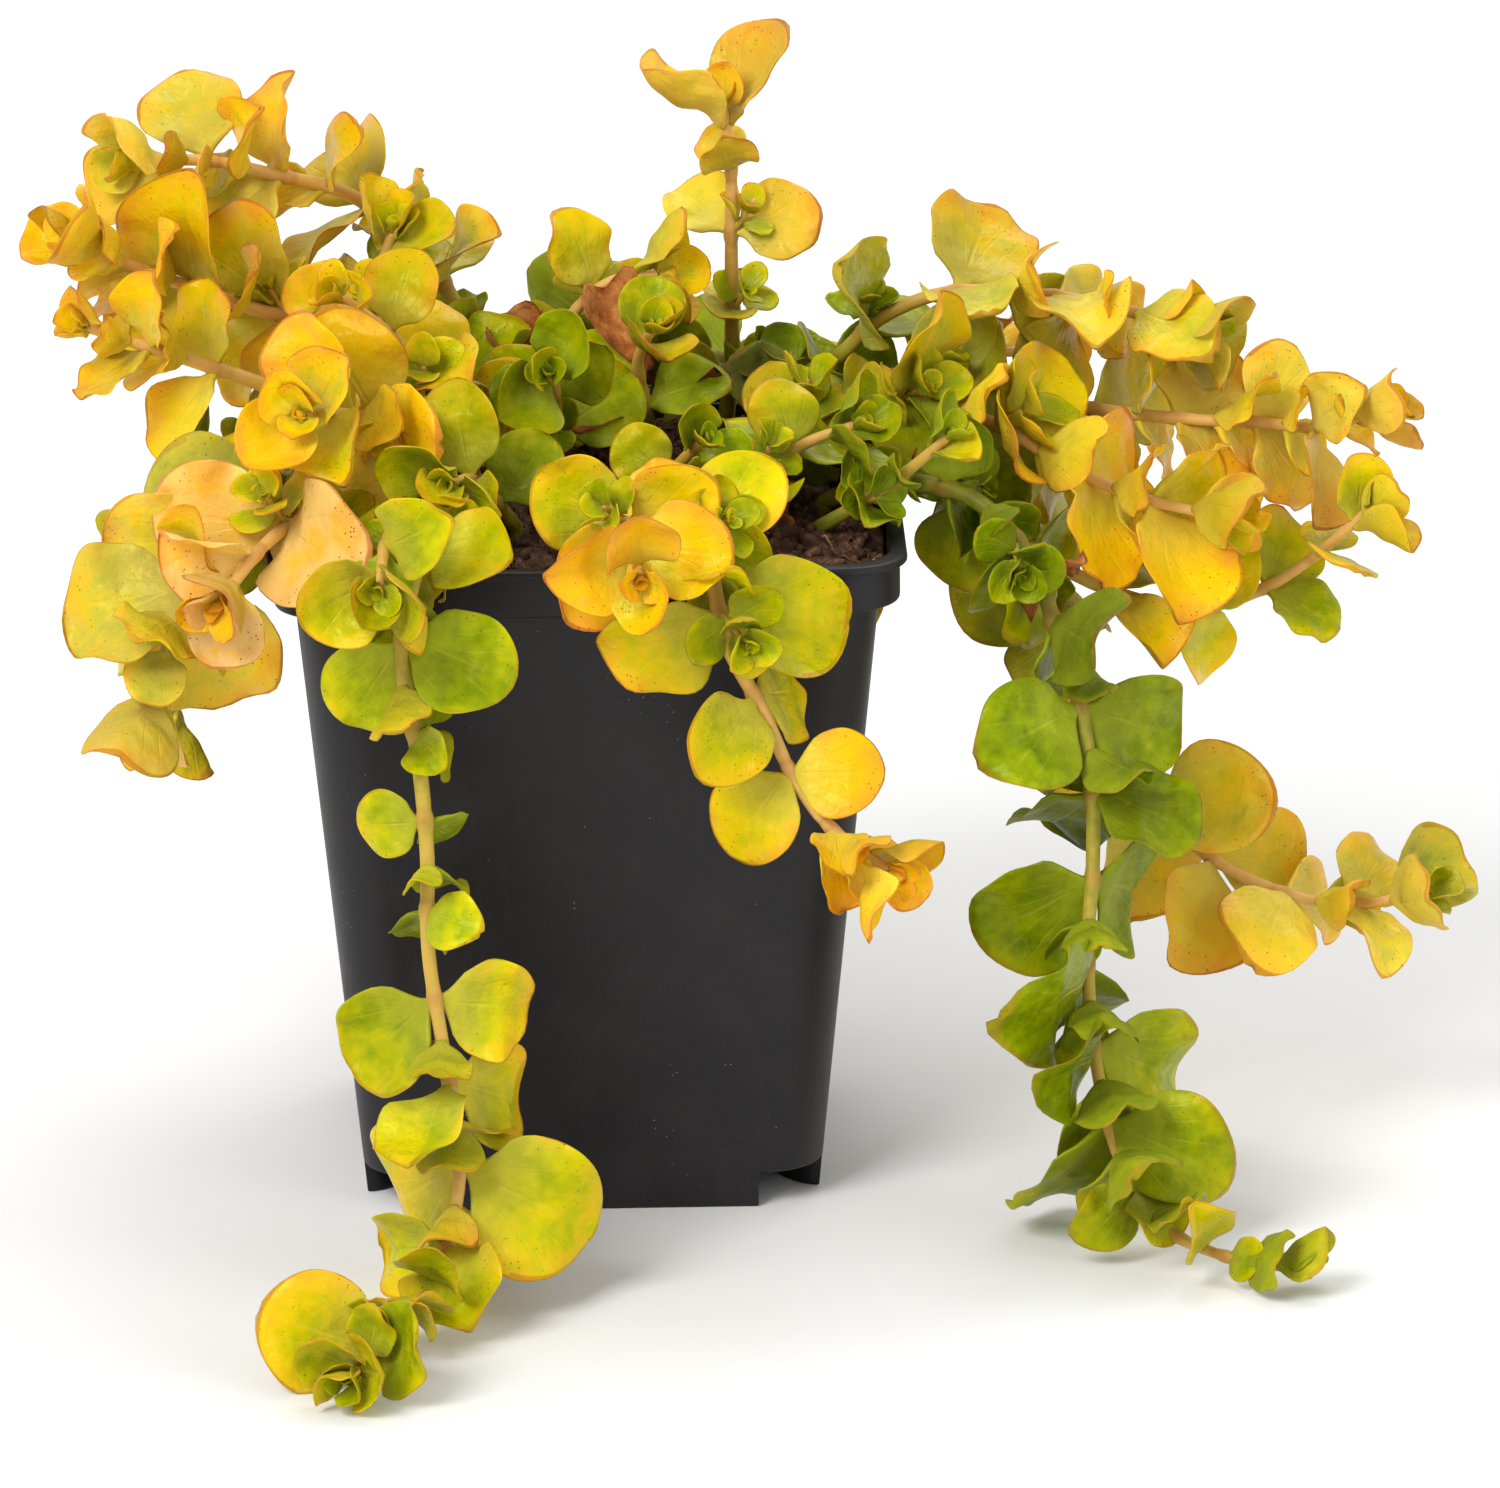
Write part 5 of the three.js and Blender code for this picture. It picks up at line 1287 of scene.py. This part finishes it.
def side_shoot(plant, route, pair, random):
    """A short stem from beside a pair, with one to three crossed pairs of small leaves on it."""
    along = direction_at(route, pair.distance)
    outward = square_to(along, unit(plant.face))
    heading = turned(outward, along, random.uniform(-75, 75)) + 0.8 * along + (0, 0, 0.35)
    length = random.uniform(3.5, 8.0)
    share = np.linspace(0, 1, SHOOT_STEPS)[:, None]
    line = point_at(route, pair.distance) + length * share * unit(heading)
    shoot = route_along(line + length * 0.18 * share ** 2 * along, free_from=0)
    radius = plant.leaf * random.uniform(0.34, 0.56)
    leaves = []
    for k, distance in enumerate(np.arange(2.4, shoot.length + 0.1, SHOOT_PAIR_STEP)):
        for side in (1, -1):
            leaves.append(small_leaf(plant, shoot, distance, 90 * k, side, radius * (1 - 0.12 * k),
                                     22 + 14 * k, random.uniform(0.05, 0.45), random))
    if random.random() < 0.5:
        leaves += bud_leaves(plant, shoot, radius * 1.1, random)
    return shoot, leaves


# %% Surfaces with their tones
CROWN_REACH = 38.0
CROWN_SHOOTS = 0.7
OUTER_SHOOTS = 0.05
YOUNG_TONE = 0.36


def tone_at(plant, route, distance):
    """The stem's tone there: its list of tones runs from the peat to the tip."""
    return along_list(plant.tones, (distance - route.soil) / (route.length - route.soil))


def toned_leaf(leaf, grid, tip, random):
    """A leaf with the tone of its place on the stem, and small strays of tone and shade."""
    tone = tone_at(leaf.plant, leaf.route, leaf.pair.distance) + random.normal(0, 0.07)
    return leaf_surface(leaf, leaf_habit(random, tip), grid, tone, random.normal(-0.04, 0.11))


def shoot_surfaces(plant, route, pairs, random):
    """Side shoots at most pairs near the peat and at few of the others, each in about one tone."""
    surfaces = []
    for pair in pairs[:-3]:
        near_peat = pair.distance - route.soil < CROWN_REACH
        if random.random() < (CROWN_SHOOTS if near_peat else OUTER_SHOOTS):
            shoot, young = side_shoot(plant, route, pair, random)
            tone = 0.5 * (YOUNG_TONE + tone_at(plant, route, pair.distance)) + random.normal(0, 0.05)
            surfaces.append(stem_surface([tone, tone], shoot, np.array([0.0]), 0.6, 0.4, 6))
            surfaces += [leaf_surface(leaf, leaf_habit(random, True), SMALL, tone + random.normal(0, 0.04),
                                      random.normal(0, 0.06)) for leaf in young]
    return surfaces


def withered_surfaces(plant, route, random):
    """Dry leaves at the oldest nodes: narrow, curled either way and frilled all round."""
    surfaces = []
    for distance in plant.withered:
        dead = small_leaf(plant, route, route.soil + distance, random.uniform(0, 180), 1,
                          plant.leaf * random.uniform(0.55, 0.9), random.uniform(-40, 35), 0.5, random)
        dead.bend, dead.cup, dead.width = random.uniform(-0.9, 0.6), 0.35, random.uniform(0.75, 1.05)
        habit = leaf_habit(random, False)
        habit.frill, habit.roll, habit.swell = 0.16, random.uniform(-0.5, 0.5), 0.16
        surfaces.append(leaf_surface(dead, habit, SMALL, random.uniform(0, 1), 0.0, material=2))
    return surfaces


# %% Every stem in place
def dress(plant):
    """The finished piece of one stem, its grown leaves and the number that had no room."""
    random = np.random.default_rng(plant.seed)
    route = stem_line(plant)
    pairs = leaf_pairs(plant, route)
    points = solid_points(plant.name)
    nodes = np.array([pair.distance for pair in pairs if not pair.tip])
    surfaces = [stem_surface(plant.tones, route, nodes)]
    leaves = leaves_of(plant, route, pairs)
    grown = [leaf for leaf in leaves if fit_leaf(leaf, points)]
    for leaf in grown:
        surface = toned_leaf(leaf, GROWN, leaf.pair.tip, random)
        surface.marks["fade"] = np.full(len(surface.points), plant.fade * random.uniform(0.5, 1.0))
        surfaces.append(surface)
    between = between_pairs(plant, route, pairs, random)
    surfaces += [toned_leaf(leaf, BETWEEN, False, random) for leaf in between]
    bud_tone = tone_at(plant, route, route.length) - 0.07
    surfaces += [leaf_surface(leaf, leaf_habit(random, True), YOUNG, bud_tone, 0.0)
                 for leaf in bud_leaves(plant, route, plant.leaf, random)]
    surfaces += shoot_surfaces(plant, route, pairs, random) + withered_surfaces(plant, route, random)
    piece = make_piece("leafy_" + plant.name, surfaces, [stem_paint, leaf_paint, withered_paint],
                       node=plant.name)
    return piece, grown, len(leaves) - len(grown)


pieces, grown_leaves, left_out = zip(*(dress(plant) for plant in STEMS))
fitted = [leaf for leaves in grown_leaves for leaf in leaves]
print(len(fitted), "leaves fitted, largest gap", round(max(leaf.gap for leaf in fitted), 3), "mm,",
      sum(triangle_count(piece) for piece in pieces), "triangles")
print("leaves without room:", list(left_out))
